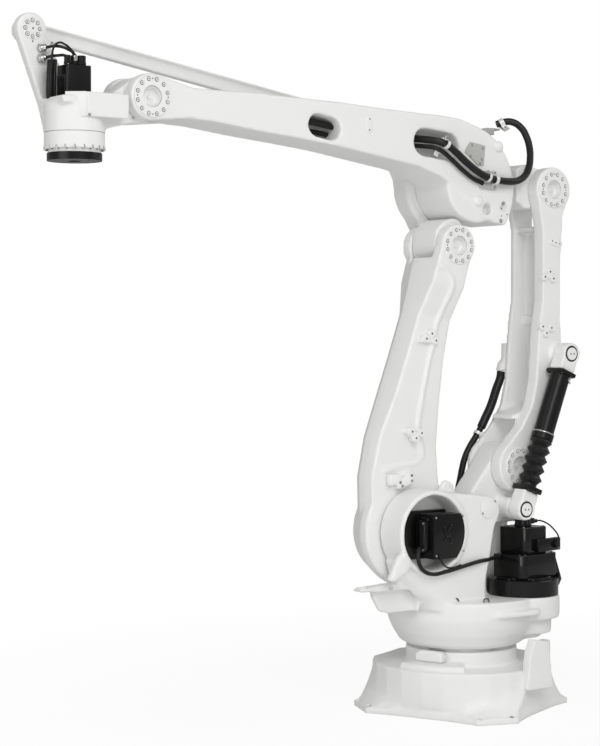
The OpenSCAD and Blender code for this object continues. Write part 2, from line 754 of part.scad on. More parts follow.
module wrist_casting() {
    color(CREAM) difference() {
        union() {
            translate([tool[0], 0, wrist_bottom]) cylinder(r = wrist_r, h = 165);
            along_y(-lug_half, lug_half) hull() {
                disc(wrist, ear_r - 6);
                translate([tool[0] - 100, wrist_bottom + 80]) square([44, 84]);
            }
            along_y(lever_far, lever_near) {
                disc(lever_pin, 60);
                polygon([lever_pin + [58, -16], lever_pin + [-56, -22], [tool[0] - 70, wrist_bottom + 160],
                    [tool[0] - 70, wrist_bottom + 60], [tool[0] + 70, wrist_bottom + 60],
                    [tool[0] + 94, wrist_bottom + 160]]);
            }
        }
        rod_y(wrist, shaft_r + run_clear, -lug_half - 1, lug_half + 1);
        rod_y(lever_pin, 20 + run_clear, lever_far - 1, lever_near + 1);
    }
}

module wrist_side_cover() {
    color(CREAM) along_y(wrist_r + 0.3, upper_near) translate([wrist[0] + 95, wrist[1] - 90]) square([180, 90]);
}

module wrist_motor() {
    color(BLACK) translate([tool[0] - 52, -41, wrist_bottom + 165.2]) cube([105, 82, 160]);
}

module wrist_motor_plugs() {
    color(BLACK) translate([tool[0], 0, wrist_bottom + 325.4]) cylinder(r = 22, h = 24);
}

module tool_flange() {
    color(BLACK) translate([tool[0], 0, wrist_bottom - 0.3 - 12 - flange_t]) difference() {
        union() {
            cylinder(r = flange_r, h = flange_t);
            cylinder(r = flange_r - 8, h = flange_t + 12);
        }
        translate([0, 0, -1]) cylinder(r = flange_bore_r, h = flange_t + 14);
        for (a = [22.5 : 45 : 337.5]) rotate([0, 0, a]) translate([flange_pcr, 0, -1])
            cylinder(r = flange_hole_r, h = flange_t + 14);
    }
}

// Gas spring

spring_dir = unit(spring_high - spring_low);
spring_len = norm(spring_high - spring_low);
spring_lean = atan2(spring_high[0] - spring_low[0], spring_high[1] - spring_low[1]);

// Along the spring's axis, from its lower eye
module on_spring() {
    translate(at(spring_low, spring_y)) rotate([0, spring_lean, 0]) children();
}

// An eye of the spring round p, with a block that reaches along the spring by way
module eye(p, way) {
    difference() {
        along_y(spring_y - 36, spring_y + 36) {
            disc(p, 47);
            polygon([for (c = [[1, 0], [1, 1], [-1, 1], [-1, 0]])
                p + front_of(spring_dir) * 41 * c[0] * sign(way) + spring_dir * way * c[1]]);
        }
        rod_y(p, pin_r + run_clear, spring_y - 37, spring_y + 37);
        rod_y(p, pin_head_r + 6, spring_y + 28, spring_y + 37);
    }
}

// Along the spring from its lower eye: both plates, the bellows and the cylinder with its collar
lower_plate = [78.2, 100];
cylinder_from = 312;
collar_to = 336;
upper_plate_t = 15;
plate_x = 82;
plate_y = 100;
bellows_r = [34, 50];

module spring_plate(t) {
    translate([-plate_x / 2, -plate_y / 2, 0]) cube([plate_x, plate_y, t]);
}

module spring_upper_eye() {
    color(CREAM) eye(spring_high, -80);
}

module spring_lower_eye() {
    color(CREAM) eye(spring_low, lower_plate[0] - 0.2);
}

module spring_cylinder() {
    top = spring_len - 80.2;
    color(BLACK) on_spring() difference() {
        union() {
            translate([0, 0, cylinder_from]) cylinder(r = spring_r, h = top - upper_plate_t + 0.2 - cylinder_from);
            translate([0, 0, cylinder_from]) cylinder(r = spring_r + 4, h = collar_to - cylinder_from);
            translate([0, 0, top - upper_plate_t]) spring_plate(upper_plate_t);
        }
        translate([0, 0, cylinder_from - 1]) cylinder(r = spring_rod_r + 10, h = 235);
    }
}

module spring_rod() {
    color(STEEL) on_spring() translate([0, 0, lower_plate[1] + 0.4])
        cylinder(r = spring_rod_r, h = cylinder_from + 70 - lower_plate[1]);
}

module spring_bellows() {
    free = cylinder_from - 0.3 - lower_plate[1];
    step = free / 10;
    color(BLACK) on_spring() difference() {
        union() {
            translate([0, 0, lower_plate[0]]) spring_plate(lower_plate[1] - lower_plate[0]);
            translate([0, 0, lower_plate[1] - 0.2]) rotate_extrude() polygon(concat([[0, 0], [bellows_r[0], 0]],
                [for (i = [0 : 8]) [bellows_r[(i + 1) % 2 == 1 ? 0 : 1], 0.75 * step + i * step]],
                [[bellows_r[1] - 2, 9.5 * step], [spring_r, free + 0.2], [0, free + 0.2]]));
        }
        translate([0, 0, lower_plate[1] + 0.2]) cylinder(r = spring_rod_r + 2, h = free + 10);
    }
}

base_casting();
base_bearing_ring();
rotation_stop();
connector_tower();
turret_casting();
access_cover();
turn_motor_flange();
turn_motor_gear_case();
turn_motor();
turn_motor_encoder();
shoulder_motor();
spring_lower_pin();
lower_arm_casting();
shoulder_reducer();
elbow_covers();
elbow_shaft();
stopper_block();
rear_link_casting();
link_covers();
link_shafts();
spring_upper_pin();
hose_bracket();
rear_hose();
elbow_casting();
upper_arm_motor();
top_hose_bracket();
upper_arm_casting();
wrist_covers();
wrist_shaft();
hose_plate();
hose_clamps();
arm_hose();
hose_loop();
tie_rod();
tie_rod_pins();
wrist_casting();
wrist_side_cover();
wrist_motor();
wrist_motor_plugs();
tool_flange();
spring_cylinder();
spring_upper_eye();
spring_rod();
spring_bellows();
spring_lower_eye();
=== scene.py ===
"""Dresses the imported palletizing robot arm: rounded castings, machined covers with their screws,
black motors with leads, rubber hoses, the gas spring and a plain studio. Metres, in the CAD's frame."""

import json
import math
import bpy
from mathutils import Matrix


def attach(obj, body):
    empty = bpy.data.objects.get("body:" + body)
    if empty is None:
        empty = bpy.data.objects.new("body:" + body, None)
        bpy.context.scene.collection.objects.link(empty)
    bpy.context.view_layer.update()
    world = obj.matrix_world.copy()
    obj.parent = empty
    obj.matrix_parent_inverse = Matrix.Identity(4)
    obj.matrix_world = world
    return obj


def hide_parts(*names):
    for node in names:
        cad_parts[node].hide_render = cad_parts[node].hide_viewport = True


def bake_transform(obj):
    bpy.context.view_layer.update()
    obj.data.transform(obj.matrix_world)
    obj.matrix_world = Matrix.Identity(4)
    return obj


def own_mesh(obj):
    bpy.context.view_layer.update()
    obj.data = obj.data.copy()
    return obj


bl_info = {
    "name": "Palletizing Robot Arm",
    "version": (1, 0, 0),
    "blender": (4, 5, 0),
    "location": "View3D > Sidebar > Robot Arm",
    "description": "Builds the visual model of a four-axis palletizing robot arm on its packed frame",
    "category": "Object",
}

import bmesh
import bpy
from mathutils import Matrix, Vector

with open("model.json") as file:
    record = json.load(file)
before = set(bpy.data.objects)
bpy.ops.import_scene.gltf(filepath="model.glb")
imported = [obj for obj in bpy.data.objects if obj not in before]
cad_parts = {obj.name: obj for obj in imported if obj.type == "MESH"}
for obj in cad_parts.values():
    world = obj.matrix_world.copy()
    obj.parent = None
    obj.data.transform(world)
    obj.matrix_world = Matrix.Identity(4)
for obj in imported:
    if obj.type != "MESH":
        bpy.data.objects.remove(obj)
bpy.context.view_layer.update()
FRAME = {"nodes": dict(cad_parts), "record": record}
BEHAVIOUR = FRAME["record"]["behaviour"]
BODY_OF = {node: body for body, nodes in BEHAVIOUR["bodies"].items() for node in nodes}
SLOT_OF = {row["node"]: row["material_slot"] for row in FRAME["record"]["subparts"]}
MM = 0.001
NEAR = (0, 1, 0)
FAR = (0, -1, 0)

# Small helpers


def joint_place(name):
    """Where a joint's axis lies at rest, in the arm's plane."""
    for joint in BEHAVIOUR["joints"]:
        if joint["name"] == name:
            return Vector((joint["pos_m"][0], 0.0, joint["pos_m"][2]))
    raise RuntimeError("no joint named " + name)


SHOULDER = joint_place("lower_arm_lean")
LINK_LOW = joint_place("rear_link_lean")
ELBOW = joint_place("elbow_level")
ARM_PIVOT = joint_place("upper_arm_dip")
ROD_PIN = joint_place("tie_rod_dip")
WRIST = joint_place("wrist_level")
SPRING_LOW = joint_place("spring_rod_swing")
SPRING_HIGH = joint_place("spring_cylinder_swing")
LINK_HIGH = LINK_LOW + ELBOW - SHOULDER
LEVER_PIN = WRIST + ROD_PIN - ARM_PIVOT


def merged_copy(node):
    """A bmesh of a CAD node with its loose triangles merged."""
    bm = bmesh.new()
    bm.from_mesh(FRAME["nodes"][node].data)
    bmesh.ops.remove_doubles(bm, verts=bm.verts, dist=0.00002)
    return bm


def apply_modifiers(obj):
    """Turns a piece's modifiers into its own mesh."""
    graph = bpy.context.evaluated_depsgraph_get()
    mesh = bpy.data.meshes.new_from_object(obj.evaluated_get(graph))
    old = obj.data
    obj.modifiers.clear()
    obj.data = mesh
    bpy.data.meshes.remove(old)


# Finishes

DUST = (0.6, 0.6, 0.58)


def new_group(name, inputs, outputs):
    group = bpy.data.node_groups.new(name, "ShaderNodeTree")
    for label, kind, value in inputs:
        socket = group.interface.new_socket(label, in_out="INPUT", socket_type=kind)
        socket.default_value = value
    for label, kind in outputs:
        group.interface.new_socket(label, in_out="OUTPUT", socket_type=kind)
    return group, group.nodes.new("NodeGroupInput"), group.nodes.new("NodeGroupOutput")


def add_node(tree, kind, feeds=None, values=None, **settings):
    """A shader node with its settings, its inputs' values and what feeds its inputs."""
    made = tree.nodes.new("ShaderNode" + kind)
    for key, value in settings.items():
        setattr(made, key, value)
    for socket, value in (values or {}).items():
        made.inputs[socket].default_value = value
    for socket, source in (feeds or {}).items():
        tree.links.new(source, made.inputs[socket])
    return made


def paint_skin_group():
    """Cast skin under paint: a fine grain in the surface, mottled gloss and faint dust on what faces up."""
    group, inp, out = new_group(
        "Painted Cast Skin",
        [("Color", "NodeSocketColor", (0.8, 0.8, 0.8, 1)), ("Dust Color", "NodeSocketColor", (*DUST, 1)),
         ("Dust", "NodeSocketFloat", 0.1), ("Roughness", "NodeSocketFloat", 0.4),
         ("Grain Scale", "NodeSocketFloat", 400.0)],
        [("Color", "NodeSocketColor"), ("Roughness", "NodeSocketFloat"), ("Height", "NodeSocketFloat")])
    place = add_node(group, "TexCoord").outputs["Object"]
    roll = add_node(group, "TexNoise", {"Vector": place}, {"Scale": 9.0, "Detail": 4.0})
    roll = roll.outputs["Fac"]
    grain = add_node(group, "TexNoise", {"Vector": place, "Scale": inp.outputs["Grain Scale"]},
                     {"Detail": 2.0})
    facing = add_node(group, "NewGeometry").outputs["Normal"]
    upward = add_node(group, "SeparateXYZ", {"Vector": facing}).outputs["Z"]
    lit = add_node(group, "MapRange", {"Value": upward}, {"From Min": 0.2, "From Max": 1.0})
    patch = add_node(group, "Math", {0: lit.outputs["Result"], 1: roll}, operation="MULTIPLY")
    amount = add_node(group, "Math", {0: patch.outputs["Value"], 1: inp.outputs["Dust"]},
                      operation="MULTIPLY")
    mix = add_node(group, "Mix", {
        "Factor": amount.outputs["Value"], "A": inp.outputs["Color"], "B": inp.outputs["Dust Color"]},
        data_type="RGBA")
    gloss = add_node(group, "MapRange", {"Value": roll}, {"To Min": -0.05, "To Max": 0.06})
    rough = add_node(group, "Math", {0: gloss.outputs["Result"], 1: inp.outputs["Roughness"]},
                     operation="ADD")
    group.links.new(mix.outputs["Result"], out.inputs["Color"])
    group.links.new(rough.outputs["Value"], out.inputs["Roughness"])
    group.links.new(grain.outputs["Fac"], out.inputs["Height"])
    return group


SKIN = paint_skin_group()
MATERIALS = {}
BLACK_BELOW = 0.05
BLACK_SHEEN = 0.28
GRAIN_HEIGHT = 0.001


def skin_material(name, color, rough, dust=0.1, grain=400.0, bump=0.05, metal=0.0, dust_color=DUST):
    """A painted, rubber or metal finish. It is made once and shared."""
    if name in MATERIALS:
        return MATERIALS[name]
    mat = bpy.data.materials.new(name)
    mat.use_nodes = True
    tree = mat.node_tree
    skin = add_node(tree, "Group", None, {
        "Color": (*color, 1), "Dust Color": (*dust_color, 1), "Dust": dust, "Roughness": rough,
        "Grain Scale": grain}, node_tree=SKIN)
    bumps = add_node(tree, "Bump", {"Height": skin.outputs["Height"]},
                     {"Strength": bump, "Distance": GRAIN_HEIGHT})
    shader = tree.nodes["Principled BSDF"]
    tree.links.new(skin.outputs["Color"], shader.inputs["Base Color"])
    tree.links.new(skin.outputs["Roughness"], shader.inputs["Roughness"])
    tree.links.new(bumps.outputs["Normal"], shader.inputs["Normal"])
    shader.inputs["Metallic"].default_value = metal
    if max(color) < BLACK_BELOW:
        shader.inputs["Specular IOR Level"].default_value = BLACK_SHEEN
    MATERIALS[name] = mat
    return mat


def white_enamel():
    look = bpy.context.scene.robot_looks
    return skin_material("White Enamel", look.enamel_color, look.enamel_roughness, 0.12, 260.0, 0.12)


def black_enamel():
    color = bpy.context.scene.robot_looks.motor_color
    return skin_material("Black Enamel", color, 0.3, 0.05, 300.0, 0.1, dust_color=(0.2, 0.2, 0.2))


def black_gloss():
    color = bpy.context.scene.robot_looks.motor_color
    return skin_material("Black Gloss Enamel", color, 0.16, 0.03, 300.0, 0.06, dust_color=(0.15, 0.15, 0.15))


def black_rubber():
    return skin_material("Black Rubber", (0.01, 0.01, 0.01), 0.34, 0.12, 700.0, 0.15,
                         dust_color=(0.12, 0.12, 0.12))


# Painted shade: a near-black finish put where only shadow shows, in counterbores, sockets, hole mouths, the
# wrist's seam and beside bolt heads.
def shadow_gap():
    return skin_material("Seam Shadow", (0.05, 0.05, 0.048), 0.6, 0.1, 600.0, 0.05,
                         dust_color=(0.2, 0.2, 0.2))


def zinc():
    return skin_material("Zinc Plate", (0.78, 0.78, 0.77), 0.36, 0.2, 500.0, 0.1, 0.35, (0.5, 0.5, 0.49))


def bare_steel():
    return skin_material("Bare Steel", (0.56, 0.56, 0.55), 0.3, 0.2, 900.0, 0.08, 1.0, (0.3, 0.3, 0.29))


def dark_steel():
    return skin_material("Black Oxide Steel", (0.09, 0.09, 0.09), 0.36, 0.1, 900.0, 0.08, 0.85,
                         (0.2, 0.2, 0.2))


def grey_paint():
    return skin_material("Grey Paint", (0.46, 0.46, 0.44), 0.42, 0.12, 260.0, 0.1)


FINISH = {"white_paint": white_enamel, "black_paint": black_enamel, "bare_steel": bare_steel,
          "black_rubber": black_rubber, "black_plastic": black_enamel, "grey_paint": grey_paint}


# Sizes and colours a user would change


class RobotCastings(bpy.types.PropertyGroup):
    voxel: bpy.props.FloatProperty(
        name="Grain", description="Voxel size of the rounded castings, which sets how round their edges are",
        default=0.006, min=0.003, max=0.02, unit="LENGTH")
    smoothing: bpy.props.IntProperty(
        name="Rounding Passes", description="How often the casting's edges are evened out", default=6, min=0,
        max=30)


class RobotLooks(bpy.types.PropertyGroup):
    enamel_color: bpy.props.FloatVectorProperty(
        name="Enamel", description="Colour of the painted castings", default=(0.83, 0.83, 0.815),
        subtype="COLOR", size=3, min=0, max=1)
    enamel_roughness: bpy.props.FloatProperty(
        name="Enamel Roughness", description="How matt the painted castings are", default=0.4, min=0, max=1,
        subtype="FACTOR")
    motor_color: bpy.props.FloatVectorProperty(
        name="Motor Black", description="Colour of the motors", default=(0.006, 0.006, 0.006),
        subtype="COLOR", size=3, min=0, max=1)


class RobotStudio(bpy.types.PropertyGroup):
    camera_place: bpy.props.FloatVectorProperty(
        name="Camera", description="Where the camera stands", default=(5.209, 6.197, 1.597), size=3,
        subtype="XYZ", unit="LENGTH")
    camera_yaw: bpy.props.FloatProperty(
        name="Yaw", description="The camera's turn from straight across the arm", default=math.radians(35.17),
        subtype="ANGLE")
    camera_pitch: bpy.props.FloatProperty(
        name="Pitch", description="The camera's tilt, up is positive", default=math.radians(-1.28),
        subtype="ANGLE")
    lens: bpy.props.FloatProperty(
        name="Lens", description="Focal length on a 36 mm frame", default=91.38, min=10, max=300)


# Studio

LAMPS = [("Key", (3.0, 6.8, 6.5), (4.0, 4.0), 268.0), ("Fill", (7.5, 1.5, 3.5), (4.0, 4.0), 105.0),
         ("Back", (-5.0, 3.0, 5.0), (4.0, 4.0), 60.0), ("Front", (1.55, 2.585, 1.25), (0.5, 1.6), 13.0)]
LIT_PLACE = Vector((0.4, 0.0, 1.3))
AMBIENT = 0.37
FLOOR_HALF = 30
SHADOW_SHOWS = {"From Min": 1.2, "From Max": 3.0, "To Min": 0.92}


class ROBOT_OT_studio(bpy.types.Operator):
    """Pale floor, soft lights, a white backdrop and the camera"""

    bl_idname = "robot.studio"
    bl_label = "Studio"

    def execute(self, context):
        studio = context.scene.robot_studio
        scene = context.scene
        scene.view_settings.view_transform = "Standard"
        camera = bpy.data.objects.new("Camera", bpy.data.cameras.new("Camera"))
        camera.data.lens = studio.lens
        camera.data.sensor_width = 36
        camera.data.clip_end = 60
        yaw, pitch = studio.camera_yaw, studio.camera_pitch
        ahead = Vector((-math.sin(yaw) * math.cos(pitch), -math.cos(yaw) * math.cos(pitch), math.sin(pitch)))
        right = Vector((-math.cos(yaw), math.sin(yaw), 0))
        up = right.cross(ahead)
        turn = Matrix((right, up, -ahead)).transposed().to_4x4()
        camera.matrix_world = Matrix.Translation(studio.camera_place) @ turn
        scene.collection.objects.link(camera)
        scene.camera = camera
        self.floor(scene)
        self.world(scene)
        for name, place, size, power in LAMPS:
            lamp = bpy.data.lights.new(name, "AREA")
            lamp.shape = "RECTANGLE"
            lamp.size, lamp.size_y = size
            lamp.energy = power
            obj = bpy.data.objects.new(name, lamp)
            way = LIT_PLACE - Vector(place)
            obj.matrix_world = Matrix.Translation(place) @ way.to_track_quat("-Z", "Y").to_matrix().to_4x4()
            obj.visible_camera = False
            scene.collection.objects.link(obj)
        return {"FINISHED"}

    def floor(self, scene):
        bm = bmesh.new()
        bmesh.ops.create_grid(bm, x_segments=1, y_segments=1, size=FLOOR_HALF)
        mesh = bpy.data.meshes.new("Floor")
        bm.to_mesh(mesh)
        bm.free()
        obj = bpy.data.objects.new("Floor", mesh)
        scene.collection.objects.link(obj)
        mat = bpy.data.materials.new("Studio Floor")
        mat.use_nodes = True
        tree = mat.node_tree
        shader = tree.nodes["Principled BSDF"]
        shader.inputs["Base Color"].default_value = (0.86, 0.86, 0.86, 1)
        shader.inputs["Roughness"].default_value = 0.9
        shader.inputs["Specular IOR Level"].default_value = 0.1
        glow = add_node(tree, "Emission", values={"Strength": 1.0})
        camera_ray = add_node(tree, "LightPath").outputs["Is Camera Ray"]
        place = add_node(tree, "TexCoord").outputs["Object"]
        far = add_node(tree, "VectorMath", {0: place}, operation="LENGTH").outputs["Value"]
        fall = add_node(tree, "MapRange", {"Value": far}, SHADOW_SHOWS).outputs["Result"]
        seen = add_node(tree, "Math", {0: camera_ray, 1: fall}, operation="MULTIPLY")
        blend = add_node(tree, "MixShader", {
            "Fac": seen.outputs["Value"], 1: shader.outputs["BSDF"], 2: glow.outputs["Emission"]})
        tree.links.new(blend.outputs["Shader"], tree.nodes["Material Output"].inputs["Surface"])
        mesh.materials.append(mat)

    def world(self, scene):
        world = bpy.data.worlds.new("Studio World")
        scene.world = world
        world.use_nodes = True
        tree = world.node_tree
        back = tree.nodes["Background"]
        back.inputs["Color"].default_value = (1, 1, 1, 1)
        path = add_node(tree, "LightPath").outputs
        either = add_node(tree, "Math", {0: path["Is Camera Ray"], 1: path["Is Transmission Ray"]},
                          operation="MAXIMUM")
        level = add_node(tree, "MapRange", {"Value": either.outputs["Value"]},
                         {"To Min": AMBIENT, "To Max": 1.0})
        tree.links.new(level.outputs["Result"], back.inputs["Strength"])


# Shapes, measured in millimetres


def frame(place, axis=(0, 0, 1), side=(1, 0, 0)):
    """A matrix at a place, with Z along an axis and X as near to a side as it can be."""
    z = Vector(axis).normalized()
    x = Vector(side)
    x = (x - z * x.dot(z)).normalized()
    turn = Matrix((x, z.cross(x), z)).transposed().to_4x4()
    turn.translation = Vector(place) * MM
    return turn


def near_face(where, y):
    """A place on the near side, where Z points to the near side and X forward."""
    return frame((where[0], y, where[1]), NEAR)


def far_face(where, y):
    """A place on the far side, where Z points to the far side."""
    return frame((where[0], y, where[1]), FAR)


def shift(x, y, z=0.0):
    """A move within a place's own axes."""
    return Matrix.Translation((x * MM, y * MM, z * MM))


def ring_of(count, radius, start=0):
    """Places round a circle about Z, the first at a start in degrees."""
    turns = [math.radians(start) + math.tau * k / count for k in range(count)]
    return [shift(radius * math.cos(a), radius * math.sin(a)) for a in turns]


def spun(profile, steps=24):
    """A profile of (radius, height) points turned about Z. It is closed if it starts off the axis."""
    bm = bmesh.new()
    verts = [bm.verts.new((r * MM, 0, h * MM)) for r, h in profile]
    pairs = list(zip(verts, verts[1:]))
    if profile[0][0]:
        pairs.append((verts[-1], verts[0]))
    edges = [bm.edges.new(pair) for pair in pairs]
    bmesh.ops.spin(bm, geom=verts + edges, cent=(0, 0, 0), axis=(0, 0, 1), angle=math.tau, steps=steps,
                   use_merge=True)
    bmesh.ops.remove_doubles(bm, verts=bm.verts, dist=0.000001)
    return bm


def knob(radius, height, edge=1.0, steps=24, top=None):
    """A round solid from the axis out, with its upper rim chamfered."""
    cap = [(0, height)] if top is None else top
    return spun(cap + [(radius - edge, height), (radius, height - edge), (radius, 0), (0, 0)], steps)


def rounded(bm, edges, width, segments=2):
    """Gives the bmesh back with these edges rounded, or cut flat with one segment."""
    bmesh.ops.bevel(bm, geom=edges, offset=width * MM, segments=segments, profile=0.5, affect="EDGES",
                    material=-1, clamp_overlap=True)
    return bm


def sharp_edges(bm, degrees):
    return [e for e in bm.edges if len(e.link_faces) == 2 and e.calc_face_angle() > math.radians(degrees)]


def block(size, bevel=1.0, segments=2, chamfer=0.0):
    """A box about its own centre with rounded edges, after its upright ones are cut flat by the chamfer."""
    bm = bmesh.new()
    bmesh.ops.create_cube(bm, size=MM, matrix=Matrix.Diagonal(Vector(size)).to_4x4())
    if chamfer:
        upright = [e for e in bm.edges if abs(e.verts[0].co.z - e.verts[1].co.z) > 0.5 * size[2] * MM]
        rounded(bm, upright, chamfer, 1)
    return rounded(bm, bm.edges[:], bevel, segments)


def slab(outline, y0, y1, bevel=0.0, segments=2):
    """An outline of (forward, up) points in the arm's plane, from y0 to y1."""
    bm = bmesh.new()
    face = bm.faces.new([bm.verts.new((x * MM, y0 * MM, z * MM)) for x, z in outline])
    made = bmesh.ops.extrude_face_region(bm, geom=[face])
    moved = [part for part in made["geom"] if isinstance(part, bmesh.types.BMVert)]
    bmesh.ops.translate(bm, vec=(0, (y1 - y0) * MM, 0), verts=moved)
    if bevel:
        rounded(bm, sharp_edges(bm, 25), bevel, segments)
    return bm


def tube(route, radius, around=4, along=8):
    """A round tube on a smooth curve through a route's points."""
    curve = bpy.data.curves.new("Route", "CURVE")
    curve.dimensions = "3D"
    curve.bevel_depth = radius * MM
    curve.bevel_resolution = around
    curve.resolution_u = along
    curve.use_fill_caps = True
    spline = curve.splines.new("BEZIER")
    spline.bezier_points.add(len(route) - 1)
    for point, place in zip(spline.bezier_points, route):
        point.co = Vector(place) * MM
        point.handle_left_type = "AUTO"
        point.handle_right_type = "AUTO"
    obj = bpy.data.objects.new("Route", curve)
    bpy.context.scene.collection.objects.link(obj)
    bpy.context.view_layer.update()
    graph = bpy.context.evaluated_depsgraph_get()
    mesh = bpy.data.meshes.new_from_object(obj.evaluated_get(graph))
    bm = bmesh.new()
    bm.from_mesh(mesh)
    bmesh.ops.remove_doubles(bm, verts=bm.verts, dist=0.000005)
    bpy.data.objects.remove(obj)
    bpy.data.curves.remove(curve)
    bpy.data.meshes.remove(mesh)
    return bm


def bevelled_copy(node, width, segments=2):
    """A CAD node's shape with its sharp edges rounded."""
    bm = merged_copy(node)
    bmesh.ops.dissolve_limit(bm, angle_limit=math.radians(0.5), verts=bm.verts, edges=bm.edges)
    return rounded(bm, sharp_edges(bm, 30), width, segments)


SHARP_ANGLE = math.radians(35)


def placed_mesh(part, place, slot=0):
    """Turns a bmesh into a mesh at a place, all of one material slot, and frees the bmesh."""
    bmesh.ops.recalc_face_normals(part, faces=part.faces)
    bmesh.ops.transform(part, matrix=place, verts=part.verts)
    for face in part.faces:
        face.material_index = slot
    mesh = bpy.data.meshes.new("Shape")
    part.to_mesh(mesh)
    part.free()
    return mesh


class Piece:
    """A piece in the making: shapes are put in at their places, each with its finish."""

    def __init__(self, name, body, slot, node=None):
        self.name = name
        self.body = body
        self.slot = slot
        self.node = node
        self.bm = bmesh.new()
        self.finishes = []

    def add(self, part, finish, place=Matrix()):
        if finish not in self.finishes:
            self.finishes.append(finish)
        mesh = placed_mesh(part, place, self.finishes.index(finish))
        self.bm.from_mesh(mesh)
        bpy.data.meshes.remove(mesh)

    def screw(self, place, radius=6.8, head=4.0, finish=None, gap=2.2):
        """A socket head screw along its place's Z, with painted shade: a dark ring for the shadow in its
        counterbore and a dark disc for the shadow in its socket.
        """
        finish = finish or white_enamel()
        seat = [(radius, 0), (radius + gap, 0), (radius + gap, 0.5), (radius, 0.5)]
        self.add(spun(seat, 14), shadow_gap(), place)
        cap = [(0, 0.4 * head), (0.45 * radius, 0.4 * head), (0.5 * radius, head)]
        self.add(knob(radius, head, 0.12 * radius, 12, cap), finish, place)
        self.add(knob(0.42 * radius, 0.5 * head, 0.1, 6), shadow_gap(), place)

    def dot(self, place, radius=3.0, height=0.5):
        """A small tapped hole with a fine chamfer, drawn as a dark disc: painted shade for the shadow in its
        mouth.
        """
        self.add(knob(radius, height, 0.3, 12), shadow_gap(), place)

    def near_screws(self, spots, y, *look):
        for where in spots:
            self.screw(near_face(where, y), *look)

    def near_dots(self, spots, y, radius=3.0, height=0.5):
        for where in spots:
            self.dot(near_face(where, y), radius, height)

    def done(self):
        """Makes the object, which takes its CAD node's place if it has one."""
        mesh = bpy.data.meshes.new(self.name)
        self.bm.to_mesh(mesh)
        self.bm.free()
        for finish in self.finishes:
            mesh.materials.append(finish)
        mesh.shade_smooth()
        mesh.set_sharp_from_angle(angle=SHARP_ANGLE)
        obj = bpy.data.objects.new(self.name, mesh)
        bpy.context.scene.collection.objects.link(obj)
        if self.body:
            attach(obj, self.body)
        if self.node:
            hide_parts(self.node)
        return obj


def stand_in(node, manner):
    """A piece that takes a CAD node's place."""
    return Piece(node + "_" + manner, BODY_OF[node], SLOT_OF[node], node)


def bridge(node):
    """A round hose in a CAD node's place that rides no body, since it blends from one to another."""
    return Piece(node + "_round", None, SLOT_OF[node], node)


def led(route, place):
    """A route's points brought to a place."""
    return [place @ (Vector(point) * MM) / MM for point in route]


def spot(point):
    """A joint's place as (forward, up) in millimetres."""
    return point.x / MM, point.z / MM


# Castings

CASTINGS = ["base_casting", "rotation_stop", "connector_tower", "turret_casting", "lower_arm_casting",
            "stopper_block", "rear_link_casting", "hose_bracket", "elbow_casting", "upper_arm_casting",
            "tie_rod", "wrist_casting", "wrist_side_cover", "spring_upper_eye", "spring_lower_eye"]


SHOULDER_HEIGHT = 770
ARM_LENGTH = 1181
SHANK_Y = 60
SHANK_SWELL = 28
FORK_Y = 134


def lower_arm_near(z):
    """The lower arm's near face at a height."""
    along = (z - SHOULDER_HEIGHT) / ARM_LENGTH
    shank = SHANK_Y + SHANK_SWELL * min(1, max(0, (along - 0.25) * 5))
    return shank + (FORK_Y - shank) * min(1, max(0, (along - 0.74) / 0.12))


RIM = [(244, 1869), (204, 1854), (177, 1829), (162, 1798), (164, 1761), (180, 1714), (195, 1667), (214, 1612),
       (228, 1542), (250, 1475), (270, 1398), (287, 1320), (294, 1278), (298, 1237), (299, 1200), (288, 1160),
       (272, 1120), (264, 1092), (272, 1066), (294, 1050), (336, 1043), (377, 1039), (429, 1032), (470, 1022)]
BOSSES = {
    "lower_arm_casting": [([(247, 1585), (276, 1564), (226, 1556)], (304, 1563), 84, 106),
                          ([(345, 1182), (296, 1174), (325, 1154)], (372, 1190), 70, 100)],
    "rear_link_casting": [([(-354, 1850), (-325, 1828), (-374, 1821)], None, 150, 168),
                          ([(-313, 1615), (-363, 1609), (-335, 1587)], None, 150, 168)],
}


def three_hole_boss(holes, tail, y0, y1):
    """Round pads about three holes and the web between them."""
    high = y1 - y0
    pad = [(0, 0), (17, 0), (17, high - 2), (15, high), (0, high)]
    shapes = [(spun(pad, 20), near_face(hole, y0)) for hole in holes]
    shapes.append((slab(holes, y0, y1 - 1.4), Matrix()))
    if tail:
        x0, z0 = max(holes, key=lambda h: h[1])
        x1, z1 = min(holes, key=lambda h: h[1])
        x, z = tail
        web = [(x0, z0 + 12), (x, z + 8), (x + 4, z - 12), (x1, z1 - 12)]
        shapes.append((slab(web, y0, y1 - 4), Matrix()))
    return shapes


def dome(radius, height):
    """A low round dome on a foot."""
    arc = [(radius * math.sin(math.radians(a)), height * math.cos(math.radians(a))) for a in range(0, 91, 15)]
    return spun(arc + [(radius, -10), (0, -10)])


LINK_WEB = [(-192 + x, 1022 + z) for x, z in (
    (-178, 262), (-205, 400), (-212, 520), (-206, 620), (-204, 836), (-208, 1004), (-222, 1004), (-218, 836),
    (-220, 620), (-226, 520), (-219, 400), (-192, 262))]
EXTRA_SLABS = {
    "lower_arm_casting": [([(322, 1004), (344, 1014), (420, 978), (414, 948), (392, 948), (330, 968)],
                           50, 95)],
    "rear_link_casting": [(LINK_WEB, -37, 96)],
    "turret_casting": [([(118, 918), (114, 948), (152, 974), (172, 968), (204, 918)], 68, 96)],
    "connector_tower": [([(-8, 120), (-20, 268), (-48, 326), (-127, 312), (-150, 120)], 372, 415)],
    "wrist_casting": [([(1772, 2424), (1958, 2424), (1964, 2450), (1925, 2452), (1772, 2438)], -84, 104)],
}
LUG_EYE = (480, 548)
LEVER_HOLES = [(1994, 2659), (1915, 2661)]
SMALL_PAD = [(0, 0), (9, 0), (9, 4), (0, 4)]
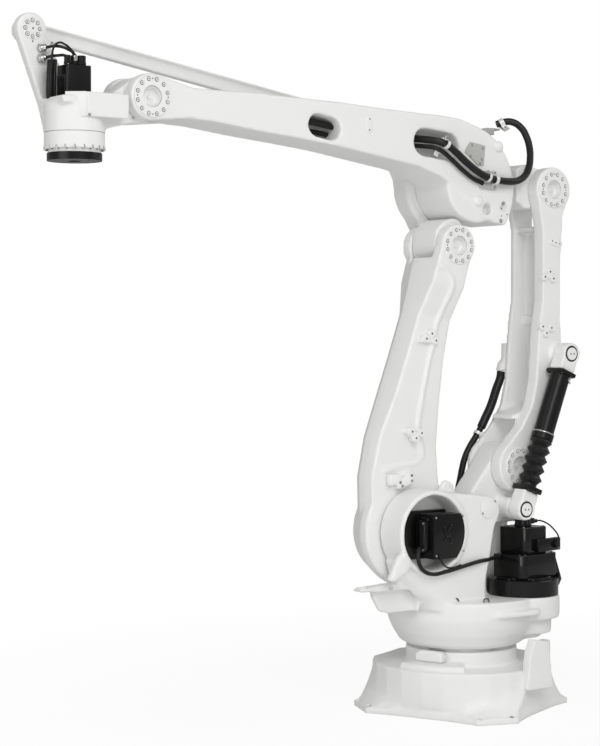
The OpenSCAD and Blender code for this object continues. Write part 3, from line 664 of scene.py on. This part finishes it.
EXTRA_PADS = {
    "turret_casting": [(LUG_EYE, 126, [(0, 0), (24, 0), (24, 8), (20, 12), (0, 12)], 20)],
    "wrist_casting": [(hole, -72, SMALL_PAD, 16) for hole in LEVER_HOLES],
}


def extra_shapes(node):
    """The ribs, webs and pads that a casting has beside its main form, and where they are."""
    shapes = [(slab(*row), Matrix()) for row in EXTRA_SLABS.get(node, [])]
    for where, y, profile, steps in EXTRA_PADS.get(node, []):
        shapes.append((spun(profile, steps), near_face(where, y)))
    if node == "lower_arm_casting":
        shapes.append((tube([(x, lower_arm_near(z) - 3, z) for x, z in RIM], 12, 3), Matrix()))
    return shapes


def oval(middle, half_width, half_straight, steps=8):
    """An upright slot's outline."""
    x, z = middle
    turns = [math.pi * k / steps for k in range(steps + 1)]
    top = [(x + half_width * math.cos(a), z + half_straight + half_width * math.sin(a)) for a in turns]
    return top + [(2 * x - a, 2 * z - b) for a, b in top]


def cut_shapes(node):
    """What is cut from a casting's main form."""
    if node == "upper_arm_casting":
        return [(knob(24, 60, 0.5), near_face((-39, 2108), 80)),
                (knob(19, 40, 0.5), near_face((-132, 2120), 100))]
    if node == "turret_casting":
        return [(knob(13, 80, 0.5), near_face(LUG_EYE, 100)),
                (knob(18, 80, 0.5), frame((604, 102, 520))),
                (block((220, 46, 104), 1, 1), frame((455, 121, 484)))]
    return []


class ROBOT_OT_castings(bpy.types.Operator):
    """Castings with the rounded edges, ribs and pads of sand-cast metal"""

    bl_idname = "robot.castings"
    bl_label = "Castings"

    def execute(self, context):
        cast = context.scene.robot_castings
        for node in CASTINGS:
            body = stand_in(node, "cast")
            body.add(merged_copy(node), white_enamel())
            for part, place in extra_shapes(node):
                body.add(part, white_enamel(), place)
            obj = body.done()
            self.round_off(obj, cast)
            cuts = cut_shapes(node)
            for part, place in cuts:
                self.cut(context, obj, part, place)
            if cuts:
                self.round_off(obj, cast)
        return {"FINISHED"}

    def round_off(self, obj, cast):
        grid = obj.modifiers.new("Grain", "REMESH")
        grid.mode = "VOXEL"
        grid.voxel_size = cast.voxel
        grid.use_smooth_shade = True
        even = obj.modifiers.new("Rounding", "SMOOTH")
        even.factor = 0.5
        even.iterations = cast.smoothing
        apply_modifiers(obj)

    def cut(self, context, obj, part, place):
        mesh = placed_mesh(part, place)
        tool = bpy.data.objects.new("Cutter", mesh)
        context.scene.collection.objects.link(tool)
        hole = obj.modifiers.new("Hole", "BOOLEAN")
        hole.operation = "DIFFERENCE"
        hole.object = tool
        context.view_layer.update()
        apply_modifiers(obj)
        bpy.data.objects.remove(tool)
        bpy.data.meshes.remove(mesh)


# Covers and pins

COVER_BOLT_CIRCLE = 66
COVER_LIFT = 0.2
PIVOTS = [("elbow_covers", "elbow_shaft", [ELBOW], -134, 134),
          ("link_covers", "link_shafts", [LINK_LOW, LINK_HIGH], -60, 157),
          ("wrist_covers", "wrist_shaft", [WRIST], -112, 122)]


def cover(piece, place):
    """A pivot's bearing cover with twelve screws, four puller holes drawn as dark discs of painted shade, and
    an open middle.
    """
    ring = [(40, 0), (40, 3.6), (41.6, 5), (76.2, 5), (78, 3.2), (78, 0)]
    piece.add(spun(ring, 64), white_enamel(), place)
    face = place @ shift(0, 0, 5)
    for turn in ring_of(12, COVER_BOLT_CIRCLE, 15):
        piece.screw(face @ turn, 6.4, 3.4)
    for turn in ring_of(4, COVER_BOLT_CIRCLE):
        piece.dot(face @ turn, 2.8)


def shaft(piece, point, far, near):
    """A pivot shaft whose ends are hollow, with a centring boss inside."""
    end = [(0, -17), (7, -17), (9, -19), (11, -24), (26, -27), (34, -22), (36.5, -14), (36.5, -2), (38, 0),
           (39.9, -2)]
    middle = 0.5 * (near + far)
    half = 0.5 * (near - far)
    profile = [(r, half + h) for r, h in end] + [(r, -half - h) for r, h in reversed(end)]
    piece.add(spun(profile, 48), white_enamel(), near_face(point, middle))


class ROBOT_OT_covers(bpy.types.Operator):
    """Bearing covers with their screws, and the hollow pivot shafts behind them"""

    bl_idname = "robot.covers"
    bl_label = "Pivot Covers"

    def execute(self, context):
        for covers, shafts, points, far, near in PIVOTS:
            piece = stand_in(covers, "screwed")
            for point in points:
                cover(piece, near_face(spot(point), near + COVER_LIFT))
                cover(piece, far_face(spot(point), far - COVER_LIFT))
            piece.done()
        for covers, shafts, points, far, near in PIVOTS:
            piece = stand_in(shafts, "turned")
            for point in points:
                shaft(piece, spot(point), far, near)
            piece.done()
        self.small_covers()
        return {"FINISHED"}

    def small_covers(self):
        piece = stand_in("access_cover", "screwed")
        piece.add(bevelled_copy("access_cover", 1.5), white_enamel())
        piece.near_screws(((-12, 884), (55, 836)), 205, 3.6, 2.0, grey_paint(), 1.2)
        piece.done()
        piece = Piece("lever_cover", "wrist", "white_paint")
        place = near_face(spot(LEVER_PIN), -69.7)
        piece.add(knob(41, 3.5, 1.2, 48), white_enamel(), place)
        piece.add(knob(17, 6, 1.2, 32), white_enamel(), place)
        for turn in ring_of(8, 30):
            piece.screw(place @ shift(0, 0, 3.5) @ turn, 6.2, 3.4)
        # Painted shade: the hole in the middle and the two lever holes are dark discs.
        piece.dot(place @ shift(0, 0, 6), 3.6)
        piece.near_dots(LEVER_HOLES, -68.4, 3.2)
        piece.done()


# Gas spring

SPRING_Y = 216
PIN_DEEP = 37.8
FOLDS_START = 100
FOLDS_LONG = 211.7
ROD_RADIUS = 19.5
FOLD_INNER = 34
FOLD_OUTER = 50


class ROBOT_OT_spring(bpy.types.Operator):
    """The gas spring: pins, rubber bellows, collar, plates and its filling valve"""

    bl_idname = "robot.spring"
    bl_label = "Gas Spring"

    def execute(self, context):
        for node, point in (("spring_lower_pin", SPRING_LOW), ("spring_upper_pin", SPRING_HIGH)):
            self.pin(node, spot(point))
        self.bellows()
        self.cylinder()
        return {"FINISHED"}

    def pin(self, node, point):
        piece = stand_in(node, "turned")
        head = [(0, 74.8), (25.4, 74.8), (27, 73.2), (27, 66.1), (24, 66.1), (24, 0), (0, 0)]
        piece.add(spun(head, 40), white_enamel(), near_face(point, SPRING_Y - PIN_DEEP))
        # Painted shade: a black ring stands for the shadowed gap round the pin head, and two dark discs for
        # the holes in the head.
        pin_gap_shade = near_face(point, SPRING_Y + 28.3)
        piece.add(spun([(27.2, 0), (37.6, 0), (37.6, 4), (27.2, 4)], 40), black_rubber(), pin_gap_shade)
        x, z = point
        piece.near_dots(((x - 9, z), (x + 9, z)), SPRING_Y + 36.9, 3.6, 0.6)
        piece.done()

    def axis(self):
        low, high = Vector(spot(SPRING_LOW)), Vector(spot(SPRING_HIGH))
        way = (high - low).normalized()
        return frame((low.x, SPRING_Y, low.y), (way.x, 0, way.y))

    def bellows(self):
        base = self.axis()
        step = FOLDS_LONG / 10
        top = FOLDS_START + FOLDS_LONG
        piece = stand_in("spring_bellows", "folded")
        piece.add(block((82, 100, 21.6), 2.0), black_enamel(), base @ shift(0, 0, 89.1))
        fold = [(FOLD_INNER, FOLDS_START + 0.1), (FOLD_INNER, FOLDS_START + 0.6 * step)]
        for k in range(8):
            middle = FOLDS_START + (0.75 + k) * step
            radius, inward = (FOLD_OUTER, -1.6) if k % 2 else (FOLD_INNER, 1.6)
            fold += [(radius + inward, middle - 2.2), (radius, middle), (radius + inward, middle + 2.2)]
        fold += [(FOLD_INNER, FOLDS_START + 8.75 * step), (48, FOLDS_START + 9.5 * step), (43, top)]
        piece.add(spun(fold + [(ROD_RADIUS, top), (ROD_RADIUS, FOLDS_START + 0.1)], 48), black_rubber(), base)
        obj = piece.done()
        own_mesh(obj)

    def cylinder(self):
        base = self.axis()
        piece = Piece("spring_cylinder_fittings", BODY_OF["spring_cylinder"], "bare_steel")
        collar = [(43.2, 337), (46.6, 337), (47.4, 338), (47.4, 341.2), (46.6, 342), (43.2, 342)]
        piece.add(spun(collar, 48), bare_steel(), base)
        for k in range(10):
            turn = Matrix.Rotation(math.tau * k / 10, 4, "Z") @ frame((47, 0, 324), (1, 0, 0))
            piece.screw(base @ turn, 2.6, 1.6, dark_steel(), 0.8)
        for x, y in ((-32, -42), (32, -42), (32, 42), (-32, 42)):
            piece.screw(base @ frame((x, y, 605.8), (0, 0, -1)), 5.5, 4.5, dark_steel(), 1.2)
        valve = frame((-377, 247, 1392), (-0.5, 0.86, 0.0))
        piece.add(knob(7, 16, 1.0, 6), bare_steel(), valve)
        piece.add(knob(9.5, 6, 1.0, 20), bare_steel(), valve)
        piece.add(knob(4, 24, 1.5, 16), bare_steel(), frame((-380, 252, 1392), (-0.2, 0.3, -0.95)))
        piece.done()


# Motors

MOTOR_SPOT = (-209, 158)
SEAT_TOP = 478
MOTOR_TURN = math.radians(10)
SHOULDER_MOTOR_Y = 221
PLUG_BASE = 2571
WRIST_LEADS = [
    (5.5, 4, 8, [(1950, -45, 2637), (1938, -28, 2640), (1912, -8, 2639), (1886, 2, 2630), (1866, 4, 2618),
                 (1862, 4, 2604)]),
    (5.5, 4, 8, [(1950, -45, 2600), (1940, -30, 2604), (1920, -8, 2606), (1904, 6, 2606), (1892, 8, 2600)]),
    (4.0, 4, 8, [(1946, -14, 2560), (1944, -12, 2600), (1938, -8, 2636), (1922, -2, 2652), (1900, 2, 2648),
                 (1872, 4, 2628), (1852, 4, 2606)]),
    (12, 4, 16, [(1949, -14, 2588), (1952, -12, 2540), (1956, -10, 2490), (1956, -10, 2446)]),
    (8, 4, 16, [(1928, -20, 2592), (1931, -20, 2540), (1934, -18, 2490), (1934, -18, 2446)]),
]


class ROBOT_OT_motors(bpy.types.Operator):
    """The four servo motors with their screws, plugs and leads"""

    bl_idname = "robot.motors"
    bl_label = "Motors"

    def execute(self, context):
        self.turn_motor()
        self.shoulder_motor()
        self.wrist_motor()
        self.upper_arm_motor()
        return {"FINISHED"}

    def seat(self, height):
        return frame((*MOTOR_SPOT, SEAT_TOP + height), side=(math.cos(MOTOR_TURN), math.sin(MOTOR_TURN), 0))

    def turn_motor(self):
        flange = [(0, 77.8), (118, 77.8), (120, 72), (139, 70), (148, 68), (151, 64), (151, 0), (0, 0)]
        piece = stand_in("turn_motor_flange", "turned")
        piece.add(spun(flange, 96), black_gloss(), frame((*MOTOR_SPOT, SEAT_TOP + 0.2)))
        for turn in ring_of(8, 132, 12):
            piece.screw(self.seat(69.6) @ turn, 5.5, 3.4, dark_steel(), 1.6)
        piece.done()
        piece = stand_in("turn_motor_gear_case", "cast")
        piece.add(bevelled_copy("turn_motor_gear_case", 2.5), black_gloss())
        for x, y in ((104, -48), (-104, -48), (104, 66), (88, 84), (-88, 84), (-106, 70)):
            piece.screw(self.seat(173.8) @ shift(x, y), 4.5, 3.0, dark_steel(), 1.0)
        piece.done()
        base = self.seat(174)
        piece = stand_in("turn_motor", "case")
        piece.add(block((152, 152, 112.2), 2.0, chamfer=15), black_gloss(), base @ shift(0, 0, 56.2))
        for x, y in ((-66, -56), (-66, 56), (66, -56), (66, 56)):
            piece.screw(self.seat(286.3) @ shift(x, y), 4.5, 3.0, bare_steel(), 0.8)
        piece.add(block((150, 24, 54), 4.0), black_gloss(), base @ frame((-58, 88, 36)))
        for up in (18, 54):
            piece.screw(base @ frame((-118, 100, up), NEAR), 3.4, 2.4, bare_steel(), 0.7)
        plug = [(0, 16), (14, 16), (15, 15), (15, 10), (17, 10), (17, 0), (0, 0)]
        piece.add(spun(plug), black_enamel(), base @ frame((-96, 98, 36), NEAR))
        piece.done()
        self.encoder(self.seat(286.8))

    def encoder(self, head):
        piece = stand_in("turn_motor_encoder", "turned")
        can = [(0, 34), (30, 34), (33, 31), (33, 10), (36.6, 8), (36.6, 0), (0, 0)]
        piece.add(spun(can, 40), black_enamel(), head)
        for turn in ring_of(10, 33.6):
            piece.add(knob(2.4, 26, 0.8, 8), dark_steel(), head @ turn @ shift(0, 0, 8))
        piece.add(block((30, 22, 24), 2.0), black_enamel(), head @ frame((-24, 22, 22)))
        piece.add(knob(8, 26, 1.5, 16), black_enamel(), head @ frame((-34, 24, 20), (-1, 0.1, 0)))
        route = ((-58, 26, 20), (-76, 30, 20), (-98, 48, 10), (-110, 80, -16), (-108, 108, -48),
                 (-98, 116, -74))
        piece.add(tube(led(route, head), 3.4), black_rubber())
        piece.done()

    def shoulder_motor(self):
        piece = stand_in("shoulder_motor", "case")
        piece.add(bevelled_copy("shoulder_motor", 2.5), black_gloss())
        piece.near_screws(((320, 834), (318, 678), (176, 834), (172, 690)), SHOULDER_MOTOR_Y, 4.2, 2.6,
                          bare_steel(), 0.8)
        piece.add(block((34, 58, 128), 12, 4), black_gloss(), frame((348, 168, 758)))
        piece.add(block((20, 70, 14), 3, 2), black_gloss(), frame((340, 166, 826)))
        for place in ((367, 196, 812), (367, 196, 704)):
            piece.screw(frame(place, (0.8, 0.6, 0)), 3.0, 2.0, bare_steel(), 0.6)
        piece.add(spun([(0, 5), (13, 5), (15, 3), (15, 0), (0, 0)]), black_enamel(),
                  near_face((258, 762), SHOULDER_MOTOR_Y))
        hub = Vector((258, 224, 762))
        for degrees, reach in ((118, 44), (62, 36), (-38, 42), (-112, 40), (170, 30)):
            turn = math.radians(degrees)
            way = Vector((math.cos(turn), 0, math.sin(turn)))
            side = Vector((way.z, 0, -way.x)) * 7
            end = hub + way * reach
            wire = [hub + way * 6, hub + way * 16 + side + Vector((0, 6, 0)),
                    end - way * 8 + side + Vector((0, 4, 0)), end]
            piece.add(tube(wire, 1.7, 2), black_rubber())
            piece.add(knob(2.4, 4.5, 0.8, 10), dark_steel(), near_face((end.x, end.z), SHOULDER_MOTOR_Y))
        piece.done()
        piece = Piece("shoulder_motor_leads", "turret", "black_rubber")
        piece.add(tube([(392, 200, 712), (408, 216, 700), (416, 225, 676), (408, 227, 646), (386, 226, 622),
                        (340, 225, 606), (274, 223, 610), (216, 220, 618), (164, 218, 627), (84, 213, 639),
                        (20, 196, 641), (-30, 170, 641), (-84, 146, 641)], 8.5), black_rubber())
        piece.add(knob(12, 20, 2, 20), black_enamel(), frame((-90, 143, 641), (0.88, 0.45, 0)))
        piece.add(tube([(304, 224, 682), (300, 227, 664), (286, 227, 642), (262, 226, 628), (230, 226, 626),
                        (190, 225, 634)], 3.6), black_rubber())
        piece.done()

    def wrist_motor(self):
        piece = stand_in("wrist_motor", "case")
        piece.add(block((104, 82, 144), 2.0, chamfer=6), black_enamel(), frame((1859.5, 0, 2499)))
        for k in range(5):
            piece.add(block((8, 6, 104), 1.2), black_enamel(), frame((1911.5, -28 + 14 * k, 2482)))
            piece.add(block((6, 6, 104), 1.2), black_enamel(), frame((1831 + 14 * k, -41, 2482)))
        for x, y in ((1816, 33), (1903, 33), (1903, -33), (1816, -33)):
            piece.screw(frame((x, y, PLUG_BASE)), 3.4, 2.4, bare_steel(), 0.8)
        piece.done()
        piece = stand_in("wrist_motor_plugs", "fitted")
        for x, y, r, high in ((1892, 8, 12, 37), (1862, 4, 12.5, 39), (1832, 2, 18, 39)):
            plug = [(0, high), (r - 2, high), (r, high - 2), (r, 14), (r + 1.5, 12), (r + 1.5, 6), (r, 4),
                    (r, 0), (0, 0)]
            piece.add(spun(plug, 28), black_enamel(), frame((x, y, PLUG_BASE)))
        piece.add(block((14, 6, 20), 1.2), bare_steel(), frame((1862, 15, 2598)))
        piece.done()
        piece = Piece("wrist_leads", "wrist", "black_rubber")
        nut = [(0, 30), (8, 30), (11, 26), (13.5, 24), (13.5, 12), (11, 10), (0, 10)]
        for z in (2637, 2600):
            gland = frame((1966, -69, z), (-0.55, 0.83, 0))
            piece.add(knob(16, 10, 2, 6), bare_steel(), gland)
            piece.add(spun(nut), bare_steel(), gland)
        for radius, around, along, route in WRIST_LEADS:
            piece.add(tube(route, radius, around, along), black_rubber())
        for k in range(22):
            piece.add(spun([(11, 0), (13.6, 0.6), (13.6, 3.0), (11, 3.6)], 20), black_rubber(),
                      frame((1949.5 + 0.32 * k, -13.6 + 0.16 * k, 2584 - 6.2 * k), (0.05, 0, 1)))
        piece.done()

    def upper_arm_motor(self):
        piece = stand_in("upper_arm_motor", "case")
        x, z = spot(ARM_PIVOT)
        for y0, y1, half, cut in ((-250, -232.2, 70, 10), (-322, -250, 66, 12), (-342, -322, 58, 8)):
            case = block((2 * half, 2 * half, y1 - y0), 2.0, chamfer=cut)
            piece.add(case, black_gloss(), far_face((x, z), 0.5 * (y0 + y1)))
        for k in range(6):
            piece.add(block((6, 62, 8), 1.5), black_gloss(), frame((x - 50 + 20 * k, -286, z + 66)))
        for turn in ring_of(4, 84, 45):
            piece.screw(far_face((x, z), -250) @ turn, 4.5, 3.0, bare_steel(), 0.8)
        piece.add(block((46, 30, 26), 3), black_gloss(), frame((x - 10, -300, z + 74)))
        piece.add(knob(11, 26, 2, 20), black_enamel(), frame((x - 22, -300, z + 74), (-1, 0, 0.15)))
        piece.done()


# Hoses

ARM_HOSE = [(328, 24, 2392), (300, 60, 2390), (266, 104, 2384), (234, 134, 2376), (206, 147, 2364),
            (162, 150, 2338), (102, 150, 2297), (37, 150, 2260), (-28, 150, 2237), (-60.4, 150, 2231)]
SLOT_HOSES = [
    (15, 6, [(915, 56, 2434), (829, 60, 2427), (760, 60, 2418), (660, 60, 2405)]),
    (10, 4, [(915, 30, 2402), (850, 30, 2397), (780, 30, 2388), (690, 30, 2378)]),
    (9.5, 5, [(352, -10, 2366), (312, 30, 2364), (278, 84, 2358), (246, 122, 2350), (214, 134, 2334),
              (170, 135, 2306), (112, 135, 2266), (56, 135, 2234), (0, 135, 2214)]),
]
HOSE_LOOP = [(-60.4, 150, 2231), (-100, 149, 2228), (-145, 147, 2228), (-196, 140, 2236), (-241, 132, 2261),
             (-269, 124, 2298), (-285, 113, 2338), (-296, 98, 2378), (-298, 76, 2430), (-287, 52, 2472),
             (-258, 27, 2497), (-222, 5, 2495), (-200, -8, 2486.5)]
REAR_HOSE = [(-295, -82, 1418.4), (-291, -82, 1394), (-267, -82, 1342), (-236, -82, 1270), (-205, -82, 1218),
             (-180, -82, 1177), (-146, -82, 1132), (-114, -82, 1092), (-88, -82, 1047), (-71, -82, 995),
             (-60, -82, 950), (-52, -82, 920), (-51, -82, 895.5)]


def strap(hose_r, drop, reach, thick=3.5):
    """A saddle strap's outline about a hose that runs along Y, with its feet at a drop below the middle."""
    outer = hose_r + 1 + thick
    inner = hose_r + 1
    angles = [math.radians(a) for a in range(0, 181, 15)]
    over = [(outer * math.cos(a), outer * math.sin(a)) for a in angles]
    under = [(inner * math.cos(a), inner * math.sin(a)) for a in reversed(angles)]
    near_foot = [(reach, -drop), (reach, thick - drop), (outer, thick - drop)]
    far_foot = [(-outer, thick - drop), (-reach, thick - drop), (-reach, -drop), (-inner, -drop)]
    return near_foot + over + far_foot + under + [(inner, -drop)]


class ROBOT_OT_hoses(bpy.types.Operator):
    """The rubber hoses, their clamps and the plates that carry them"""

    bl_idname = "robot.hoses"
    bl_label = "Hoses"

    def execute(self, context):
        piece = stand_in("arm_hose", "round")
        piece.add(tube(ARM_HOSE, 15, 6), black_rubber())
        piece.done()
        piece = Piece("slot_hoses", "upper_arm", "black_rubber")
        for radius, around, route in SLOT_HOSES:
            piece.add(tube(route, radius, around), black_rubber())
        piece.done()
        loop = bridge("hose_loop")
        loop.add(tube(HOSE_LOOP, 15, 6, 12), black_rubber())
        obj = loop.done()
        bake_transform(obj)
        rear = bridge("rear_hose")
        rear.add(tube(REAR_HOSE, 14, 6), black_rubber())
        rear.add(tube(REAR_HOSE[:6], 19, 6), black_rubber())
        obj = rear.done()
        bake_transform(obj)
        self.clamps()
        return {"FINISHED"}

    def clamps(self):
        piece = stand_in("hose_clamps", "bolted")
        tab = [(198, 2398), (222, 2388), (258, 2322), (236, 2312)]
        piece.add(slab(tab, 122.2, 125.2, 1.0), zinc())
        shelf = [(-76, 2190), (10, 2196), (18, 2214), (-6, 2268), (-76, 2268)]
        piece.add(slab(shelf, 122.1, 134.2, 2.0), grey_paint())
        for point, way, drop, reach, wide in (
                ((206, 147, 2364), Vector((-72, 14, -38)), 20.5, 42, 15),
                ((-60, 150, 2231), Vector((-40, 0, -4)), 15.6, 38, 16),
                ((-20, 150, 2239), Vector((-60, 0, -18)), 15.6, 34, 12)):
            place = frame(point, NEAR, way.cross(Vector(NEAR)))
            piece.add(slab(strap(15, drop, reach), -0.5 * wide, 0.5 * wide, 0.8, 1), zinc(), place)
            for side in (-1, 1):
                foot = place @ frame((side * (reach - 7), 0, 3.5 - drop), (0, 0, 1))
                piece.screw(foot, 4.6, 4.5, bare_steel(), 1.0)
        piece.done()
        piece = stand_in("hose_plate", "screwed")
        piece.add(bevelled_copy("hose_plate", 1.0, 1), grey_paint())
        piece.near_screws(((49, 2373), (-8, 2362), (58, 2327), (-3, 2316), (6, 2298)), 126, 4.4, 2.6,
                          grey_paint(), 1.3)
        piece.done()
        piece = stand_in("top_hose_bracket", "bent")
        piece.add(bevelled_copy("top_hose_bracket", 1.2, 1), grey_paint())
        way = Vector((22, -13, -6))
        up = Vector((0.55, 0, 0.83))
        place = frame((-220, 3, 2493), up, way.cross(up))
        piece.add(slab(strap(15, 18.5, 44), -10, 10, 0.8, 1), zinc(), place)
        piece.add(block((104, 26, 8), 1.5), grey_paint(), place @ frame((0, 0, -22.5)))
        for side in (-1, 1):
            piece.screw(place @ frame((side * 36, 0, -15), (0, 0, 1)), 4.6, 4.5, bare_steel(), 1.0)
        piece.done()
        piece = Piece("rear_hose_clamp", "rear_link", "white_paint")
        way = Vector((-34, 0, 45))
        place = frame((-160, -82, 1150), (0.8, 0, 0.6), way.cross(Vector((0.8, 0, 0.6))))
        piece.add(slab(strap(14, 15, 30), -7, 7, 0.8, 1), zinc(), place)
        piece.add(block((62, 14, 10), 1.5), white_enamel(), place @ frame((0, 0, -20)))
        piece.add(block((30, 14, 30), 1.5), white_enamel(), frame((-172, -66, 1142)))
        piece.done()


# Small parts


class ROBOT_OT_fasteners(bpy.types.Operator):
    """Bosses, screws, tapped holes, clips and seams on the castings; the holes, the seam and the gaps beside
    the wrist's ring bolts are dark painted shade.
    """

    bl_idname = "robot.fasteners"
    bl_label = "Fasteners"

    def execute(self, context):
        self.lower_arm()
        self.rear_link()
        self.upper_arm()
        self.wrist()
        self.turret()
        return {"FINISHED"}

    def bosses(self, piece, node):
        for holes, tail, y0, y1 in BOSSES[node]:
            for part, place in three_hole_boss(holes, tail, y0, y1):
                piece.add(part, white_enamel(), place)
            piece.near_dots(holes, y1 - 0.1, 4.4, 0.6)

    def lower_arm(self):
        piece = Piece("lower_arm_screws", "lower_arm", "bare_steel")
        self.bosses(piece, "lower_arm_casting")
        piece.near_screws(((345, 1000), (345, 980), (404, 974), (393, 960)), 94.4, 4.6, 2.6,
                          bare_steel(), 1.6)
        piece.done()

    def rear_link(self):
        piece = Piece("rear_link_screws", "rear_link", "bare_steel")
        self.bosses(piece, "rear_link_casting")
        pad = [(-430, 1964), (-427, 1982), (-366, 1993), (-350, 1984), (-358, 1968), (-410, 1956)]
        piece.add(slab(pad, 150, 162, 2.5), white_enamel())
        piece.near_dots(((-371, 1983), (-391, 1976), (-413, 1972)), 161.9, 3.4, 0.6)
        piece.done()

    def upper_arm(self):
        piece = Piece("upper_arm_screws", "upper_arm", "grey_paint")
        piece.add(slab(oval((588, 2425), 17, 16), 119, 125, 2.0), white_enamel())
        piece.near_dots(((587, 2447), (589, 2403)), 124.9, 3.2, 0.6)
        for place in ((-98, 2374), (11, 2141)):
            piece.add(dome(24, 13), white_enamel(), near_face(place, 121.8))
        piece.near_screws(((-127, 2136), (-113, 2062)), 121.6, 6.5, 3.0, grey_paint(), 2.0)
        piece.near_dots(((-115, 2083), (-147, 2091), (-115, 2113)), 121.6, 3.0, 1.0)
        piece.done()

    def wrist(self):
        piece = Piece("wrist_screws", "wrist", "bare_steel")
        piece.near_screws(((1862, 2382), (1679, 2382)), 121.8, 4.6, 3.0, grey_paint(), 1.4)
        corner = slab([(1873.9, 121.9), (1938, 75), (1873.9, 75)], -2466, -2376, 1.5)
        piece.add(corner, white_enamel(), frame((0, 0, 0), NEAR))
        middle = frame((1859, 0, 0))
        lip = [(94.4, 2250.3), (98, 2250.3), (98, 2264), (94.4, 2264)]
        piece.add(spun(lip, 64), white_enamel(), middle)
        # Painted shade: a thin dark ring for the shadow in the seam between the wrist's parts.
        seam_shade = [(108, 2324), (112.2, 2324), (112.2, 2325.6), (108, 2325.6)]
        piece.add(spun(seam_shade, 64), shadow_gap(), middle)
        # Painted shade: dark cylinders behind the bolt heads stand for the shadows in their scallops; the
        # steel cylinders are the heads.
        for turn in ring_of(20, 104.5, 8):
            piece.add(knob(6.6, 16, 0.8, 16), shadow_gap(), middle @ turn @ shift(0, 0, 2260.5))
        for turn in ring_of(20, 108.5, 8):
            piece.add(knob(5.0, 15, 1.0, 12), bare_steel(), middle @ turn @ shift(0, 0, 2260.0))
        piece.done()

    def turret(self):
        piece = Piece("turret_fittings", "turret", "bare_steel")
        hoop = ((-11, 0, 0), (-11, 0, 9), (-8, 0, 14), (0, 0, 15.5), (8, 0, 14), (11, 0, 9), (11, 0, 0))
        for x, y, degrees in ((196, 200, 38), (94, 273, 70)):
            turn = math.radians(degrees + 90)
            place = frame((x, y, 476), side=(math.cos(turn), math.sin(turn), 0))
            piece.add(tube(led(hoop, place), 2.6), dark_steel())
            piece.add(block((14, 5, 12), 1.0), bare_steel(), place @ frame((0, 0, 6)))
        piece.done()


class ROBOT_OT_finishes(bpy.types.Operator):
    """The procedural finish of each solid that is shown as it is"""

    bl_idname = "robot.finishes"
    bl_label = "Finishes"

    def execute(self, context):
        for node, obj in FRAME["nodes"].items():
            if obj.hide_render:
                continue
            finish = FINISH[SLOT_OF[node]]()
            if not obj.material_slots:
                raise RuntimeError(node + " has no material slot")
            for place in obj.material_slots:
                place.material = finish
        return {"FINISHED"}


class ROBOT_PT_panel(bpy.types.Panel):
    """The robot arm's pieces, each with its own button"""

    bl_idname = "ROBOT_PT_panel"
    bl_label = "Robot Arm"
    bl_space_type = "VIEW_3D"
    bl_region_type = "UI"
    bl_category = "Robot Arm"

    def draw(self, context):
        layout = self.layout
        for cls in OPERATORS:
            layout.operator(cls.bl_idname)
        for name in GROUPS:
            group = getattr(context.scene, name)
            for key in group.__annotations__:
                layout.prop(group, key)


OPERATORS = [ROBOT_OT_studio, ROBOT_OT_castings, ROBOT_OT_covers, ROBOT_OT_spring, ROBOT_OT_motors,
             ROBOT_OT_hoses, ROBOT_OT_fasteners, ROBOT_OT_finishes]
GROUPS = {"robot_castings": RobotCastings, "robot_looks": RobotLooks, "robot_studio": RobotStudio}


def register():
    for name, cls in GROUPS.items():
        bpy.utils.register_class(cls)
        setattr(bpy.types.Scene, name, bpy.props.PointerProperty(type=cls))
    for cls in OPERATORS:
        bpy.utils.register_class(cls)
    bpy.utils.register_class(ROBOT_PT_panel)


def unregister():
    bpy.utils.unregister_class(ROBOT_PT_panel)
    for cls in reversed(OPERATORS):
        bpy.utils.unregister_class(cls)
    for name, cls in GROUPS.items():
        delattr(bpy.types.Scene, name)
        bpy.utils.unregister_class(cls)


def main():
    register()
    bpy.ops.robot.studio()
    bpy.ops.robot.castings()
    bpy.ops.robot.covers()
    bpy.ops.robot.spring()
    bpy.ops.robot.motors()
    bpy.ops.robot.hoses()
    bpy.ops.robot.fasteners()
    bpy.ops.robot.finishes()


if __name__ == "__main__":
    main()
